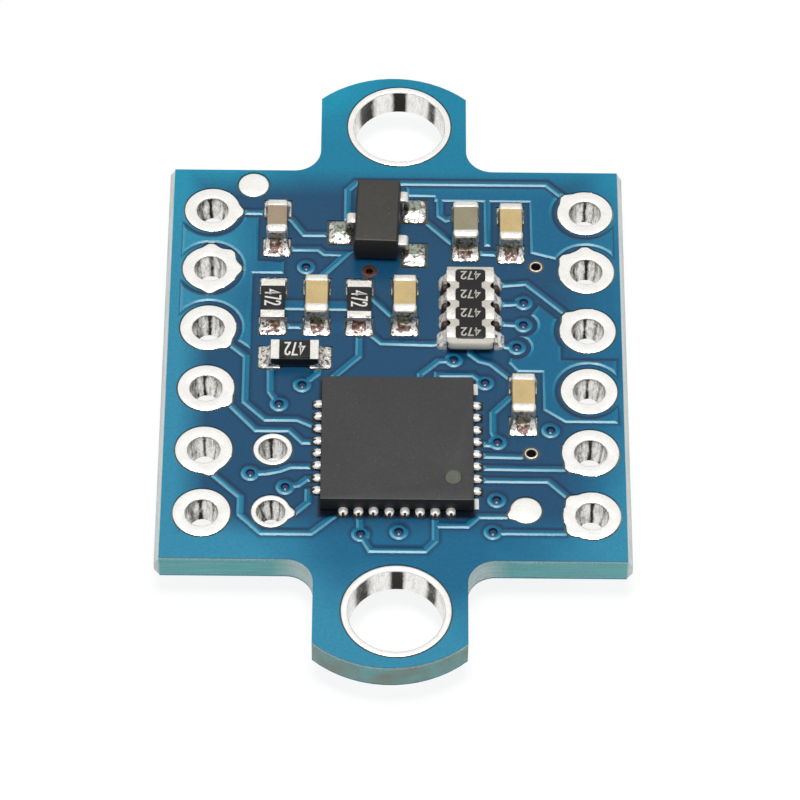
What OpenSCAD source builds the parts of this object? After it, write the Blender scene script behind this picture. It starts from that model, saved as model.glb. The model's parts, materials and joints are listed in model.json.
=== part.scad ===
// Time-of-flight distance sensor module: a small blue circuit board with two
// screw tabs, two rows of plated pin holes, a leadless microcontroller, a
// regulator and chip parts on its upper face, and the sensor on its lower face.
// Millimetres. The origin lies midway between the two mounting holes on the
// lower face of the bare laminate. +Z points out of the microcontroller's side
// and +Y along the board towards one tab.

/* [Board] */
// Width over the two scored long edges
board_w = 15.5; // [15.3:0.1:18]
// Length of the wide middle
board_l = 16.3; // [16.2:0.1:17.4]
// Thickness of the bare laminate
board_t = 0.93; // [0.7:0.01:1.6]
// Offset of the wide middle from the line of the mounting holes
board_shift = -0.1; // [-0.2:0.01:0.2]
// Width of a screw tab
tab_w = 5; // [4.4:0.1:7]
// Offset of the tabs from the line of the mounting holes
tab_shift = -0.19; // [-0.3:0.01:0.3]
// Straight side of a tab past the centre of its hole
tab_past = 1.24; // [0.8:0.01:1.6]
// Rise of a tab's rounded end above its corners
tab_crown = 0.95; // [0.7:0.01:2]
// Radius of the routed corner between a tab and the wide middle
tab_fillet = 0.9; // [0.3:0.05:1.3]
// Depth of the score cut in each face, along the long edges
score_depth = 0.3; // [0.1:0.01:0.34]
// Lean of the score cut, from its bottom out to the face
score_in = 0.17; // [0.05:0.01:0.25]

/* [Mounting holes] */
// Distance between the centres of the two mounting holes
mount_gap = 20.32; // [20.2:0.01:22]
// Diameter of a mounting hole inside its plating
mount_hole_d = 3.1; // [2.2:0.1:3.4]
// Width of the tinned ring around a mounting hole
mount_ring_w = 0.225; // [0.15:0.005:0.4]

/* [Pin holes] */
// Distance between the pins of a row
pin_pitch = 2.54; // [2.3:0.01:2.56]
// Distance between the two rows
row_gap = 12.7; // [12.5:0.01:12.9]
// Diameter of a pin hole inside its plating
pin_hole_d = 1.04; // [0.8:0.02:1.2]
// Diameter of the tinned pad around a pin hole
pin_pad_d = 1.88; // [1.5:0.02:2]
// Reach of a bare track end from the centre of a pin hole
pin_tail = 1.06; // [1.02:0.01:1.15]

/* [Wire holes and test pads] */
// Diameter of a wire hole inside its plating
wire_hole_d = 0.9; // [0.6:0.02:1]
// Diameter of the tinned pad around a wire hole
wire_pad_d = 1.28; // [1.16:0.02:1.4]
// Centre of the wire hole beside the microcontroller
wire_hole_1_at = [-4.08, -3.77]; // [-4.2:0.01:-3.7]
// Centre of the wire hole near the corner of the microcontroller
wire_hole_2_at = [-4.1, -6.28]; // [-6.4:0.01:-3.9]
// Diameter of a solid test pad
test_pad_d = 1.04; // [0.8:0.02:1.1]
// Centre of the test pad near the far edge
test_pad_1_at = [-4.97, 7.48]; // [-5.1:0.01:7.55]
// Centre of the test pad beside the microcontroller
test_pad_2_at = [4.2, -6.15]; // [-6.2:0.01:4.3]
// Reach of a bare track end from the centre of a wire hole
wire_tail = 0.78; // [0.74:0.01:0.82]
// Reach of a bare track end from the centre of a test pad
test_tail = 0.64; // [0.6:0.01:0.68]

/* [Copper and mask] */
// Thickness of the copper foil
copper_t = 0.035; // [0.02:0.005:0.07]
// Thickness of the tin on a bare pad
tin_t = 0.02; // [0.01:0.005:0.04]
// Thickness of the copper and tin wall inside a plated hole
plating_t = 0.05; // [0.03:0.005:0.08]
// Thickness of the solder mask over copper
mask_t = 0.025; // [0.015:0.005:0.04]
// Spread of the mask on each side of the copper that it covers
mask_side = 0.03; // [0.02:0.005:0.04]
// Bare margin between a pad and the mask around it
mask_gap = 0.05; // [0.03:0.005:0.06]
// Width of a track
track_w = 0.17; // [0.12:0.01:0.2]
// Clear distance between a copper area and a pad that it passes
pour_gap = 0.23; // [0.15:0.01:0.28]
// Diameter of a via's hole
via_hole_d = 0.3; // [0.2:0.02:0.34]
// Diameter of a via's ring
via_ring_d = 0.56; // [0.5:0.02:0.6]
// Thickness of a via's wall
via_wall = 0.04; // [0.02:0.005:0.05]
// Length of the narrow copper bridge between an area and a pin's pad
spoke_l = 0.43; // [0.35:0.01:0.5]

/* [Solder] */
// Thickness of the solder under a terminal
solder_t = 0.03; // [0.02:0.005:0.06]
// Length of a tinned land under a chip's end
land_l = 0.75; // [0.6:0.01:0.85]
// Width of a tinned land under a chip's end
land_w = 0.9; // [0.8:0.01:0.95]
// Reach of a chip's lands from the chip's middle
land_reach = 1.2; // [1.1:0.01:1.22]
// Height of the solder up a capacitor's end
cap_solder_h = 0.5; // [0.2:0.01:0.6]
// Height of the solder up a resistor's end
res_solder_h = 0.32; // [0.15:0.01:0.35]
// Height of the solder up a terminal of the array
array_solder_h = 0.3; // [0.15:0.01:0.35]
// Margin of the rising solder from the sides of its land
solder_side = 0.03; // [0.01:0.005:0.06]

/* [Microcontroller] */
// Centre of the package
mcu_at = [0, -3.7]; // [-3.8:0.01:0.1]
// Side of the square package
mcu_w = 5; // [4.8:0.05:5]
// Height of the package
mcu_h = 0.6; // [0.5:0.01:1]
// Distance between two terminals
mcu_pitch = 0.5; // [0.45:0.01:0.52]
// Width of a terminal
mcu_lead_w = 0.25; // [0.18:0.01:0.3]
// Length of a terminal under the package
mcu_lead_l = 0.4; // [0.3:0.01:0.5]
// Thickness of a terminal
mcu_lead_t = 0.2; // [0.1:0.01:0.25]
// Side of the square pad under the package
mcu_pad_w = 3.5; // [2.5:0.05:3.6]
// Reach of a land past the side of the package
mcu_land_out = 0.28; // [0.2:0.01:0.3]
// Height of the solder up the side of a terminal
mcu_solder_h = 0.18; // [0.08:0.01:0.22]
// Diameter of the round mark at the first terminal
mcu_mark_d = 0.44; // [0.3:0.01:0.7]
// Distance of the round mark's centre from the nearest two sides
mcu_mark_in = 0.8; // [0.5:0.01:1.2]
// Depth of the round mark
mcu_mark_deep = 0.03; // [0.01:0.005:0.1]
// Width of the metal tie at each corner of the package
mcu_tie_w = 0.2; // [0.1:0.01:0.24]
// Length of a corner tie, along the package's diagonal
mcu_tie_l = 0.3; // [0.15:0.01:0.35]

/* [Regulator] */
// Centre of the lands under the regulator
reg_at = [-0.72, 5.4]; // [-0.8:0.01:5.5]
// Slip of the regulator along its lands
reg_slip = 0.12; // [0:0.01:0.15]
// Width of the moulded body, between the leads
reg_w = 1.6; // [1.4:0.01:1.7]
// Length of the moulded body
reg_l = 2.8; // [2.6:0.01:2.9]
// Height of the moulded body
reg_h = 1; // [0.8:0.01:1.2]
// Gap between the moulded body and the feet's underside
reg_standoff = 0.09; // [0.02:0.01:0.12]
// Draft of the moulded body on each side, above and below its middle
reg_draft = 0.06; // [0.02:0.01:0.12]
// Distance between the tips of opposite feet
reg_span = 2.8; // [2.6:0.01:2.9]
// Distance between the two leads of one side
reg_pitch = 1.9; // [1.7:0.01:1.95]
// Width of a lead
reg_lead_w = 0.42; // [0.3:0.01:0.5]
// Thickness of a lead
reg_lead_t = 0.13; // [0.08:0.01:0.16]
// Length of a foot
reg_foot = 0.34; // [0.25:0.01:0.4]
// Outer radius of a lead's bends, over the lead's thickness
reg_bend = 1.2; // [1.05:0.05:1.4]
// Length of a lead inside the body
reg_root = 0.25; // [0.1:0.01:0.4]
// Length of a regulator land across the body
reg_land_l = 0.85; // [0.7:0.01:0.9]
// Width of a regulator land
reg_land_w = 1; // [0.8:0.01:1.05]
// Reach of a regulator land past the tip of its foot
reg_land_out = 0.27; // [0.1:0.01:0.3]

/* [Chip capacitors] */
// Length of a capacitor
cap_l = 1.6; // [1.4:0.01:1.7]
// Width of a capacitor
cap_w = 0.78; // [0.6:0.01:0.84]
// Width of the broad capacitor
broad_cap_w = 0.86; // [0.8:0.01:0.88]
// Height of a capacitor
cap_h = 0.8; // [0.5:0.01:0.9]
// Length of a capacitor's metal end
cap_band = 0.3; // [0.2:0.01:0.4]
// Centre of the capacitor by the first left pin
cap_1_at = [-4.12, 5.56]; // [-4.2:0.01:5.6]
// Size of that capacitor, as a share of the others' size
cap_1_share = 0.9; // [0.85:0.01:1]
// Centre of the broad capacitor
cap_2_at = [2.27, 5.42]; // [2.2:0.01:5.5]
// Centre of the capacitor right of the broad one
cap_3_at = [3.8, 5.35]; // [3.7:0.01:5.5]
// Centre of the capacitor between two resistors
cap_4_at = [-2.73, 2.18]; // [-2.8:0.01:2.3]
// Centre of the capacitor in the middle
cap_5_at = [0.22, 2.2]; // [0.1:0.01:2.3]
// Centre of the capacitor beside the microcontroller
cap_6_at = [4.15, -1.92]; // [-2:0.01:4.2]

/* [Chip resistors] */
// Length of a resistor
res_l = 1.6; // [1.4:0.01:1.7]
// Width of a resistor
res_w = 0.8; // [0.6:0.01:0.84]
// Height of a resistor's metal ends
res_h = 0.44; // [0.3:0.01:0.6]
// Length of a resistor's metal end
res_band = 0.29; // [0.2:0.01:0.4]
// Thickness of a resistor's black coat
coat_t = 0.04; // [0.02:0.005:0.06]
// Margin of the black coat from a resistor's sides
coat_side = 0.04; // [0.02:0.005:0.1]
// Centre of the left resistor
res_1_at = [-4.2, 2.2]; // [-4.3:0.01:2.3]
// Centre of the middle resistor
res_2_at = [-1.3, 2.18]; // [-1.4:0.01:2.3]
// Centre of the resistor that lies across the board
res_3_at = [-3.43, 0.03]; // [-3.5:0.01:0.1]

/* [Resistor array] */
// Centre of the array
array_at = [2.42, 1.97]; // [1.9:0.01:2.5]
// Width of the array across its terminals
array_w = 1.6; // [1.4:0.01:1.64]
// Length of the array
array_l = 3.2; // [3.1:0.01:3.3]
// Height of the array
array_h = 0.5; // [0.4:0.01:0.6]
// Distance between two terminals of a side
array_pitch = 0.8; // [0.76:0.01:0.82]
// Length of a terminal on the upper face, inwards from the side
array_band = 0.3; // [0.2:0.01:0.34]
// Width of a terminal
array_lead_w = 0.46; // [0.36:0.01:0.5]
// Width of a lobe of the black coat, along the array
array_lobe_w = 0.54; // [0.4:0.01:0.6]
// Rounding of a lobe's corners
array_lobe_round = 0.12; // [0.05:0.01:0.2]
// Retreat of the black coat between two lobes
array_waist = 0.24; // [0.1:0.01:0.3]
// Diameter of the notch between two terminals
array_notch_d = 0.26; // [0.2:0.01:0.3]
// Length of an array land across the array
array_land_l = 0.55; // [0.45:0.01:0.6]
// Reach of the array's lands from its middle
array_reach = 1.02; // [0.95:0.01:1.06]

/* [Metal ends] */
// Thickness of the metal on a chip's ends
end_t = 0.02; // [0.01:0.005:0.04]
// Rounding of a chip's edges
chip_round = 0.06; // [0.03:0.005:0.1]

/* [Sensor on the lower face] */
// Centre of the sensor
sensor_at = [0, 0]; // [-0.3:0.01:0.3]
// Length of the sensor along the board
sensor_l = 4.4; // [4.2:0.05:4.8]
// Width of the sensor
sensor_w = 2.4; // [2.2:0.05:2.6]
// Thickness of the sensor's own carrier
sensor_base_h = 0.35; // [0.25:0.01:0.5]
// Height of the sensor's black cover
sensor_cover_h = 0.65; // [0.5:0.01:0.8]
// Distance between the emitter's and the receiver's opening
sensor_eyes = 2.4; // [2.2:0.05:2.6]
// Diameter of the emitter's opening
emitter_d = 0.6; // [0.4:0.02:0.8]
// Diameter of the receiver's opening
receiver_d = 0.8; // [0.5:0.02:1]
// Flare of the openings at the cover's face, on each side
eye_flare = 0.16; // [0.05:0.01:0.25]
// Thickness of the clear windows inside the openings
window_t = 0.25; // [0.1:0.01:0.35]
// Distance between two sensor terminals of a side
sensor_pitch = 0.8; // [0.7:0.01:0.8]
// Length of a sensor land across the sensor
sensor_land_l = 0.5; // [0.4:0.01:0.6]
// Width of a sensor land
sensor_land_w = 0.45; // [0.3:0.01:0.48]

/* [Capacitors on the lower face] */
// Length of a lower capacitor
low_cap_l = 1; // [0.9:0.01:1.1]
// Width of a lower capacitor
low_cap_w = 0.5; // [0.4:0.01:0.56]
// Height of a lower capacitor
low_cap_h = 0.5; // [0.3:0.01:0.6]
// Length of a lower capacitor's metal end
low_cap_band = 0.22; // [0.15:0.01:0.3]
// Centre of the first lower capacitor
low_cap_1_at = [-3.4, 1.3]; // [-3.5:0.01:1.4]
// Centre of the second lower capacitor
low_cap_2_at = [-3.4, -1.3]; // [-3.5:0.01:-1.2]
// Length of a land under a lower capacitor's end
low_land_l = 0.5; // [0.4:0.01:0.55]
// Width of a land under a lower capacitor's end
low_land_w = 0.6; // [0.56:0.01:0.7]
// Reach of a lower capacitor's lands from its middle
low_reach = 0.78; // [0.7:0.01:0.8]
// Height of the solder up a lower capacitor's end
low_solder_h = 0.25; // [0.15:0.01:0.28]

/* [Hidden] */
$fn = 48;

// How far a cut runs past the faces that it goes through
past = 0.5;
// Levels above the faces of the laminate: bare pads, chip seats
pad_h = copper_t + tin_t;
seat_h = copper_t + solder_t;
// Bare track ends: start and half width at the pad, over the pad's diameter
tail_root = 0.4;
tail_spread = 0.26;
// Rows of pin holes, counted from the far end
ROWS = [0:5];
// Terminals on a side of the microcontroller, of the array and of the sensor
MCU_SIDE = [0:7];
ARRAY_SIDE = [0:3];
SENSOR_SIDE = [0:4];

// Centre of a pin hole: side -1 is the left row, 1 the right one
function pin_at(side, row) = [side * row_gap / 2, (2.5 - row) * pin_pitch];
// Centre of the land under one end of a chip that lies along the board
function land_at(at, end) = at + [0, end * (land_reach - land_l / 2)];
// The same for the chip that lies across the board
function cross_land_at(at, end) = at + [end * (land_reach - land_l / 2), 0];
// Centre of an array land, the near one first
function array_land_at(side, k) =
    array_at + [side * (array_reach - array_land_l / 2), (k - 1.5) * array_pitch];
// Middle of the land of terminal k on one side of the microcontroller, where
// the side is given by the direction that it faces
mcu_land_l = mcu_lead_l + mcu_land_out;
function mcu_land_at(facing, k) =
    mcu_at + (mcu_w / 2 + mcu_land_out - mcu_land_l / 2) * facing
    + (k - 3.5) * mcu_pitch * [abs(facing[1]), abs(facing[0])];
LEFT = [-1, 0];
RIGHT = [1, 0];
FAR = [0, 1];
NEAR = [0, -1];
// Centre of a regulator land: one on the left, two on the right
reg_land_x = reg_span / 2 + reg_land_out - reg_land_l / 2;
REG_LANDS = [[-1, 0], [1, 1], [1, -1]];
function reg_land_at(k) =
    reg_at + [REG_LANDS[k][0] * reg_land_x, REG_LANDS[k][1] * reg_pitch / 2];

// Vias: centre, and whether the ring is bare of mask
VIAS = [
    [[-3.12, 3.9], false], [[-0.98, 3.75], true], [[-3.92, -1.9], false],
    [[-3.17, -1.1], false], [[-4.8, -4.75], false], [[-3.65, -5.3], false],
    [[-1.17, -7.15], false], [[0.07, -7.05], false], [[3.12, -7.03], false],
    [[3.25, -5.75], false], [[4.4, -3.85], true], [[3.3, -3.4], false],
    [[5.05, -2.9], false], [[2.9, -0.95], false], [[1.87, 0], false],
    [[4.22, 2.45], false], [[4.2, 1.5], false], [[3.97, 0.55], false],
    [[4.65, 4], true]
];
function via(k) = VIAS[k][0];
ALL_VIAS = [0:len(VIAS) - 1];
BARE_VIAS = [for (k = ALL_VIAS) if (VIAS[k][1]) k];

// Directions in which bare track ends leave the pads of each pin
LEFT_TAILS = [[-4], [90, 45, 0, -90], [-48], [-38], [-75], []];
RIGHT_TAILS = [[135], [92, 143], [138], [], [222], [137, 223]];
// The same for the two wire holes and the two test pads
WIRE_HOLES = [[wire_hole_1_at, []], [wire_hole_2_at, [-5]]];
TEST_PADS = [[test_pad_1_at, []], [test_pad_2_at, [203]]];

// Tracks on the upper face, each from one pad, land or via to another
TRACKS = [
    [pin_at(-1, 0), pin_at(-1, 0) + [1.1, -0.08], [cap_1_at[0], pin_at(-1, 0)[1] - 0.08]],
    [land_at(cap_1_at, 1), [-3.62, 5.95], [-3.2, 5.33], reg_land_at(0) + [0, -0.07]],
    [land_at(cap_1_at, -1), [-3.6, 4.69], [-2.7, 4.69], [-2.5, 4.5], [-1.75, 4.5],
        [-2.6, 3.5], land_at(cap_4_at, 1)],
    [land_at(res_1_at, -1), land_at(cap_4_at, -1)],
    [land_at(cap_4_at, -1), land_at(res_2_at, -1)],
    [land_at(res_2_at, 1), [-0.8, 2.52], [-0.3, 1.95], land_at(cap_5_at, -1)],
    [land_at(res_2_at, -1), [-0.85, 1], [-0.55, 0.7], [1.15, 0.66], array_land_at(-1, 0)],
    [land_at(res_2_at, -1), [res_2_at[0], 0.12], [-2.1, -0.72], mcu_land_at(FAR, 0)],
    [pin_at(-1, 2), [-5.05, 0.08], [-5.05, -1.82], [-4.35, -2.52], [-3.3, -2.52],
        mcu_land_at(LEFT, 5)],
    [cross_land_at(res_3_at, -1), [-4.22, -1.4], via(2)],
    [via(3), [-2.66, -0.62], cross_land_at(res_3_at, 1)],
    [pin_at(-1, 3), [-5.55, -1.92], [-4.65, -2.96], [-3.55, -2.96], [-3.1, -3.45],
        mcu_land_at(LEFT, 4)],
    [mcu_land_at(LEFT, 2), [-3.5, -4.45], [-3.85, -4.62], [-4.3, -4.72], via(4)],
    [via(5), [-3.2, -5.18], [-2.95, -4.95], mcu_land_at(LEFT, 1)],
    [wire_hole_2_at, [-3.3, -6.3], [-2.9, -5.9], [-2.9, -5.45], mcu_land_at(LEFT, 0)],
    [pin_at(-1, 4), [-6.02, -4.8], [-5.1, -5.7], [-5.1, -6.4], [-4.4, -7.12],
        [-2.78, -7.12], [-2.05, -6.45], mcu_land_at(NEAR, 0)],
    [mcu_land_at(NEAR, 1), via(6)],
    [via(6), [-0.85, -7.78], [0.92, -7.78], [1.25, -7.4], mcu_land_at(NEAR, 6)],
    [[1.25, -6.78], [2.3, -6.78], [2.66, -6.4], test_pad_2_at + [-0.6, -0.25], test_pad_2_at],
    [via(8), [5.45, -7.04], pin_at(1, 5)],
    [mcu_land_at(RIGHT, 1), [4.95, -4.95], pin_at(1, 5) + [-0.8, 0.78], pin_at(1, 5)],
    [mcu_land_at(RIGHT, 2), [5.45, -4.47], pin_at(1, 4)],
    [mcu_land_at(RIGHT, 3), [4.05, -3.98], via(10)],
    [mcu_land_at(RIGHT, 4), [3.05, -3.5], via(11)],
    [via(11), [3.15, -3], [3.15, -2.2], [3.68, -1.6], land_at(cap_6_at, 1)],
    [mcu_land_at(FAR, 6), [1.32, -0.62], [2.5, -0.62], via(13)],
    [mcu_land_at(FAR, 5), [0.75, -0.62], [1.35, -0.05], via(14)],
    [array_at + [0, -1.4], [2.42, 0.25], [2.72, -0.02], [3.1, -0.14], [3.7, -0.72],
        land_at(cap_6_at, 1)],
    [array_land_at(1, 3), array_land_at(1, 3) + [1.15, 0.12], [5.55, 2.08], pin_at(1, 2)],
    [array_land_at(1, 2), [3.8, 2.4], via(15)],
    [array_land_at(1, 1), [3.8, 1.53], via(16)],
    [array_land_at(1, 0), [3.55, 0.6], via(17)],
    [reg_land_at(1), [1.05, 5.8], [1.7, 5.12], land_at(cap_2_at, -1)],
    [[1.4, 7.1], [1.4, 6.2], [1.62, 6.02], land_at(cap_2_at, 1)],
    [land_at(cap_2_at, -1), land_at(cap_3_at, -1)],
    [pin_at(1, 0), [5.05, 7.63], [-1.45, 7.63], [-1.75, 7.3], [-1.75, 5.6], reg_land_at(0)],
    [[3.02, 7], [3.02, 4.9]],
    [via(1), land_at(res_2_at, 1)]
];

// Copper areas on the upper face, clockwise; they keep clear of the pads
POURS = [
    [[-7.3, 6.05], [-4.8, 6.05], [-4.8, 4.12], [-3.9, 4.12], [-3.9, 3.64],
        [-4.95, 3.64], [-4.95, 0.45], [-5.4, 0.8], [-7.3, 0.8]],
    [[0.3, 7.42], [5, 7.42], [5.5, 6.9], [7.25, 6.9], [7.25, 2.9], [5.5, 2.9],
        [5.5, 4.3], [4.5, 4.6], [4.5, 6.85], [1.25, 6.85], [1.25, 7.05], [0.3, 7.05]],
    [[4.75, 2.3], [5.4, 1.65], [5.4, 0], [7.25, 0], [7.25, -2.55], [5.55, -2.55],
        [4.85, -2.05], [4.85, -0.46], [4, -0.46], [3.72, -0.1], [3.97, 0.55], [4.2, 1.5]],
    [res_1_at + [0, -0.12], res_1_at + [0, 0.25], res_2_at + [0, 0.25], res_2_at + [0, -0.12]]
];
// Vias that the areas keep clear of
POUR_VIAS = [12, 15, 16, 17, 18];

// Lands of a lower capacitor and of the sensor, the near ones first
function low_land_at(at, end) = at + [0, end * (low_reach - low_land_l / 2)];
sensor_land_x = sensor_w / 2 - sensor_land_l / 2;
function sensor_land_at(side, k) =
    sensor_at + [side * sensor_land_x, (k - 2) * sensor_pitch];

// Tracks on the lower face
LOW_TRACKS = [
    [pin_at(-1, 1), [-5, 2.6], low_land_at(low_cap_1_at, 1)],
    [low_land_at(low_cap_1_at, -1), low_land_at(low_cap_2_at, 1)],
    [low_land_at(low_cap_2_at, -1), [-4.6, -2.6], via(2)],
    [low_land_at(low_cap_1_at, 1), [-2.2, sensor_pitch], sensor_land_at(-1, 3)],
    [low_land_at(low_cap_2_at, 1), [-2.2, -sensor_pitch], sensor_land_at(-1, 1)],
    [sensor_land_at(1, 4), [2.6, 2.5], [4.6, 5.2], pin_at(1, 1)],
    [sensor_land_at(1, 3), [2.8, 1.1], [5, 1.9], pin_at(1, 2)],
    [sensor_land_at(1, 1), [2.8, -1.1], [5, -1.6], pin_at(1, 3)],
    [sensor_land_at(1, 0), [2.6, -2.2], via(8)],
    [sensor_land_at(-1, 0), [-1.9, -3.2], [-1.9, -6.4], via(6)],
    [sensor_land_at(-1, 4), [-1.6, 2.9], via(0)]
];

// One side of a bent strip, mitred at its bends
function unit(v) = v / norm(v);
function across(v) = [-v[1], v[0]];
function strip_side(path, d) = [
    for (i = [0:len(path) - 1])
        let (
            before = unit(path[max(i, 1)] - path[max(i, 1) - 1]),
            after = i < len(path) - 1 ? unit(path[i + 1] - path[i]) : before,
            n = across(before),
            m = across(after)
        )
        path[i] + d * (n + m) / (1 + n * m)
];
function turned(list) = [for (i = [len(list) - 1:-1:0]) list[i]];

// Outline grown by d on all sides, its points given clockwise
function grown(outline, d) = [
    for (i = [0:len(outline) - 1])
        let (
            last = outline[(i + len(outline) - 1) % len(outline)],
            next = outline[(i + 1) % len(outline)],
            n = across(unit(outline[i] - last)),
            m = across(unit(next - outline[i]))
        )
        outline[i] + d * (n + m) / (1 + n * m)
];

// Path with both of its ends moved out by d
function longer(path, d) = let (last = len(path) - 1) [
    for (i = [0:last])
        path[i]
        + (i == 0 ? d * unit(path[0] - path[1]) : [0, 0])
        + (i == last ? d * unit(path[last] - path[last - 1]) : [0, 0])
];

// Bent strip of one width along a path, grown on all sides
module strip(path, w, grow = 0) {
    long = longer(path, grow);
    half = w / 2 + grow;
    polygon(concat(strip_side(long, half), turned(strip_side(long, -half))));
}

// Places what follows at a point of the board
module at(p, z = 0) {
    translate([p[0], p[1], z]) children();
}

// Draws what follows on the lower face, as seen with that face up
module underside() {
    mirror([0, 0, 1]) children();
}

// Rectangle with round corners
module soft_square(size, r) {
    square([size[0] - 2 * r, size[1]], center = true);
    square([size[0], size[1] - 2 * r], center = true);
    for (x = [-1, 1], y = [-1, 1]) {
        translate([x * (size[0] / 2 - r), y * (size[1] / 2 - r)]) circle(r = r);
    }
}

// Box that stands on z = 0 with all its edges rounded
module soft_box(size, r) {
    translate([0, 0, size[2] / 2]) intersection() {
        linear_extrude(size[2], center = true) soft_square([size[0], size[1]], r);
        rotate([90, 0, 0]) linear_extrude(size[1], center = true)
            soft_square([size[0], size[2]], r);
        rotate([90, 0, 90]) linear_extrude(size[0], center = true)
            soft_square([size[1], size[2]], r);
    }
}

// Outline of the board
tab_corner_y = mount_gap / 2 + tab_past;
crown_r = (tab_w * tab_w / 4 + tab_crown * tab_crown) / (2 * tab_crown);
crown_y = tab_corner_y + tab_crown - crown_r;
module tab_outline() {
    translate([tab_shift - tab_w / 2, 0]) square([tab_w, crown_y]);
    intersection() {
        translate([tab_shift - tab_w / 2, crown_y - past]) square([tab_w, crown_r + 2 * past]);
        translate([tab_shift, crown_y]) circle(r = crown_r, $fn = 120);
    }
    for (side = [-1, 1]) {
        translate([tab_shift + side * tab_w / 2, board_l / 2])
            mirror([side > 0 ? 0 : 1, 0]) difference() {
                translate([-past, -past]) square(tab_fillet + past);
                translate([tab_fillet, tab_fillet]) circle(r = tab_fillet);
            }
    }
}
module board_outline(w) {
    translate([board_shift, 0]) square([w, board_l], center = true);
    tab_outline();
    mirror([0, 1]) tab_outline();
}

// Holes in the board, each wider than its finished bore by a wall
module drill_holes(wall) {
    for (end = [-1, 1]) {
        translate([0, end * mount_gap / 2]) circle(d = mount_hole_d + 2 * wall, $fn = 96);
    }
    for (side = [-1, 1], row = ROWS) {
        translate(pin_at(side, row)) circle(d = pin_hole_d + 2 * wall);
    }
    for (hole = WIRE_HOLES) translate(hole[0]) circle(d = wire_hole_d + 2 * wall);
}

// Bare track ends that leave a pad, in the given directions
module tails(angles, pad_d, reach, grow = 0) {
    for (a = angles) {
        rotate(a) polygon([
            [tail_root * pad_d, -tail_spread * pad_d - grow],
            [reach + grow, -track_w / 2 - grow],
            [reach + grow, track_w / 2 + grow],
            [tail_root * pad_d, tail_spread * pad_d + grow]
        ]);
    }
}

// Outlines of all round pads, wider by grow
module pads(grow = 0, with_tails = true) {
    for (end = [-1, 1]) {
        translate([0, end * mount_gap / 2])
            circle(r = mount_hole_d / 2 + mount_ring_w + grow, $fn = 96);
    }
    for (row = ROWS) {
        translate(pin_at(-1, row)) {
            circle(d = pin_pad_d + 2 * grow);
            if (with_tails) tails(LEFT_TAILS[row], pin_pad_d, pin_tail, grow);
        }
        translate(pin_at(1, row)) {
            circle(d = pin_pad_d + 2 * grow);
            if (with_tails) tails(RIGHT_TAILS[row], pin_pad_d, pin_tail, grow);
        }
    }
    for (hole = WIRE_HOLES) translate(hole[0]) {
        circle(d = wire_pad_d + 2 * grow);
        if (with_tails) tails(hole[1], wire_pad_d, wire_tail, grow);
    }
}
module test_pad_outlines(grow = 0) {
    for (pad = TEST_PADS) translate(pad[0]) {
        circle(d = test_pad_d + 2 * grow);
        tails(pad[1], test_pad_d, test_tail, grow);
    }
}
module via_outlines(d, which = ALL_VIAS) {
    for (k = which) translate(via(k)) circle(d = d, $fn = 32);
}

// Lands under the parts of the upper face, wider by grow
CAPS = [cap_1_at, cap_2_at, cap_3_at, cap_4_at, cap_5_at, cap_6_at];
module land(size, grow) {
    square([size[0] + 2 * grow, size[1] + 2 * grow], center = true);
}
module chip_lands(grow = 0) {
    for (p = concat(CAPS, [res_1_at, res_2_at]), end = [-1, 1]) {
        translate(land_at(p, end)) land([land_w, land_l], grow);
    }
    for (end = [-1, 1]) {
        translate(cross_land_at(res_3_at, end)) land([land_l, land_w], grow);
    }
    for (side = [-1, 1], k = ARRAY_SIDE) {
        translate(array_land_at(side, k)) land([array_land_l, array_lead_w], grow);
    }
    for (k = [0:2]) {
        translate(reg_land_at(k)) land([reg_land_l, reg_land_w], grow);
    }
}
module mcu_lands(grow = 0) {
    for (k = MCU_SIDE) {
        for (facing = [LEFT, RIGHT]) {
            translate(mcu_land_at(facing, k)) land([mcu_land_l, mcu_lead_w], grow);
        }
        for (facing = [FAR, NEAR]) {
            translate(mcu_land_at(facing, k)) land([mcu_lead_w, mcu_land_l], grow);
        }
    }
    translate(mcu_at) land([mcu_pad_w, mcu_pad_w], grow);
}

// Copper that the mask covers on the upper face, wider by grow
module pour_outlines(grow = 0) {
    difference() {
        for (outline = POURS) polygon(grown(outline, grow));
        for (side = [-1, 1], row = ROWS) {
            translate(pin_at(side, row)) circle(d = pin_pad_d + 2 * pour_gap - 2 * grow);
        }
        via_outlines(via_ring_d + 2 * pour_gap - 2 * grow, POUR_VIAS);
        for (p = [cap_3_at, cap_6_at], end = [-1, 1]) {
            translate(land_at(p, end)) land([land_w, land_l], pour_gap - grow);
        }
    }
    for (spoke = [90, 0, -90]) {
        translate(pin_at(-1, 1)) rotate(spoke)
            translate([pin_pad_d / 2 + (pour_gap - spoke_l) / 2, -track_w / 2 - grow])
                square([spoke_l, track_w + 2 * grow]);
    }
}
module upper_copper(grow = 0) {
    for (path = TRACKS) strip(path, track_w, grow);
    pour_outlines(grow);
}
module lower_copper(grow = 0) {
    for (path = LOW_TRACKS) strip(path, track_w, grow);
}

// Lands on the lower face, wider by grow
LOW_CAPS = [low_cap_1_at, low_cap_2_at];
module low_lands(grow = 0) {
    for (p = LOW_CAPS, end = [-1, 1]) {
        translate(low_land_at(p, end)) land([low_land_w, low_land_l], grow);
    }
    for (side = [-1, 1], k = SENSOR_SIDE) {
        translate(sensor_land_at(side, k)) land([sensor_land_l, sensor_land_w], grow);
    }
}

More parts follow.
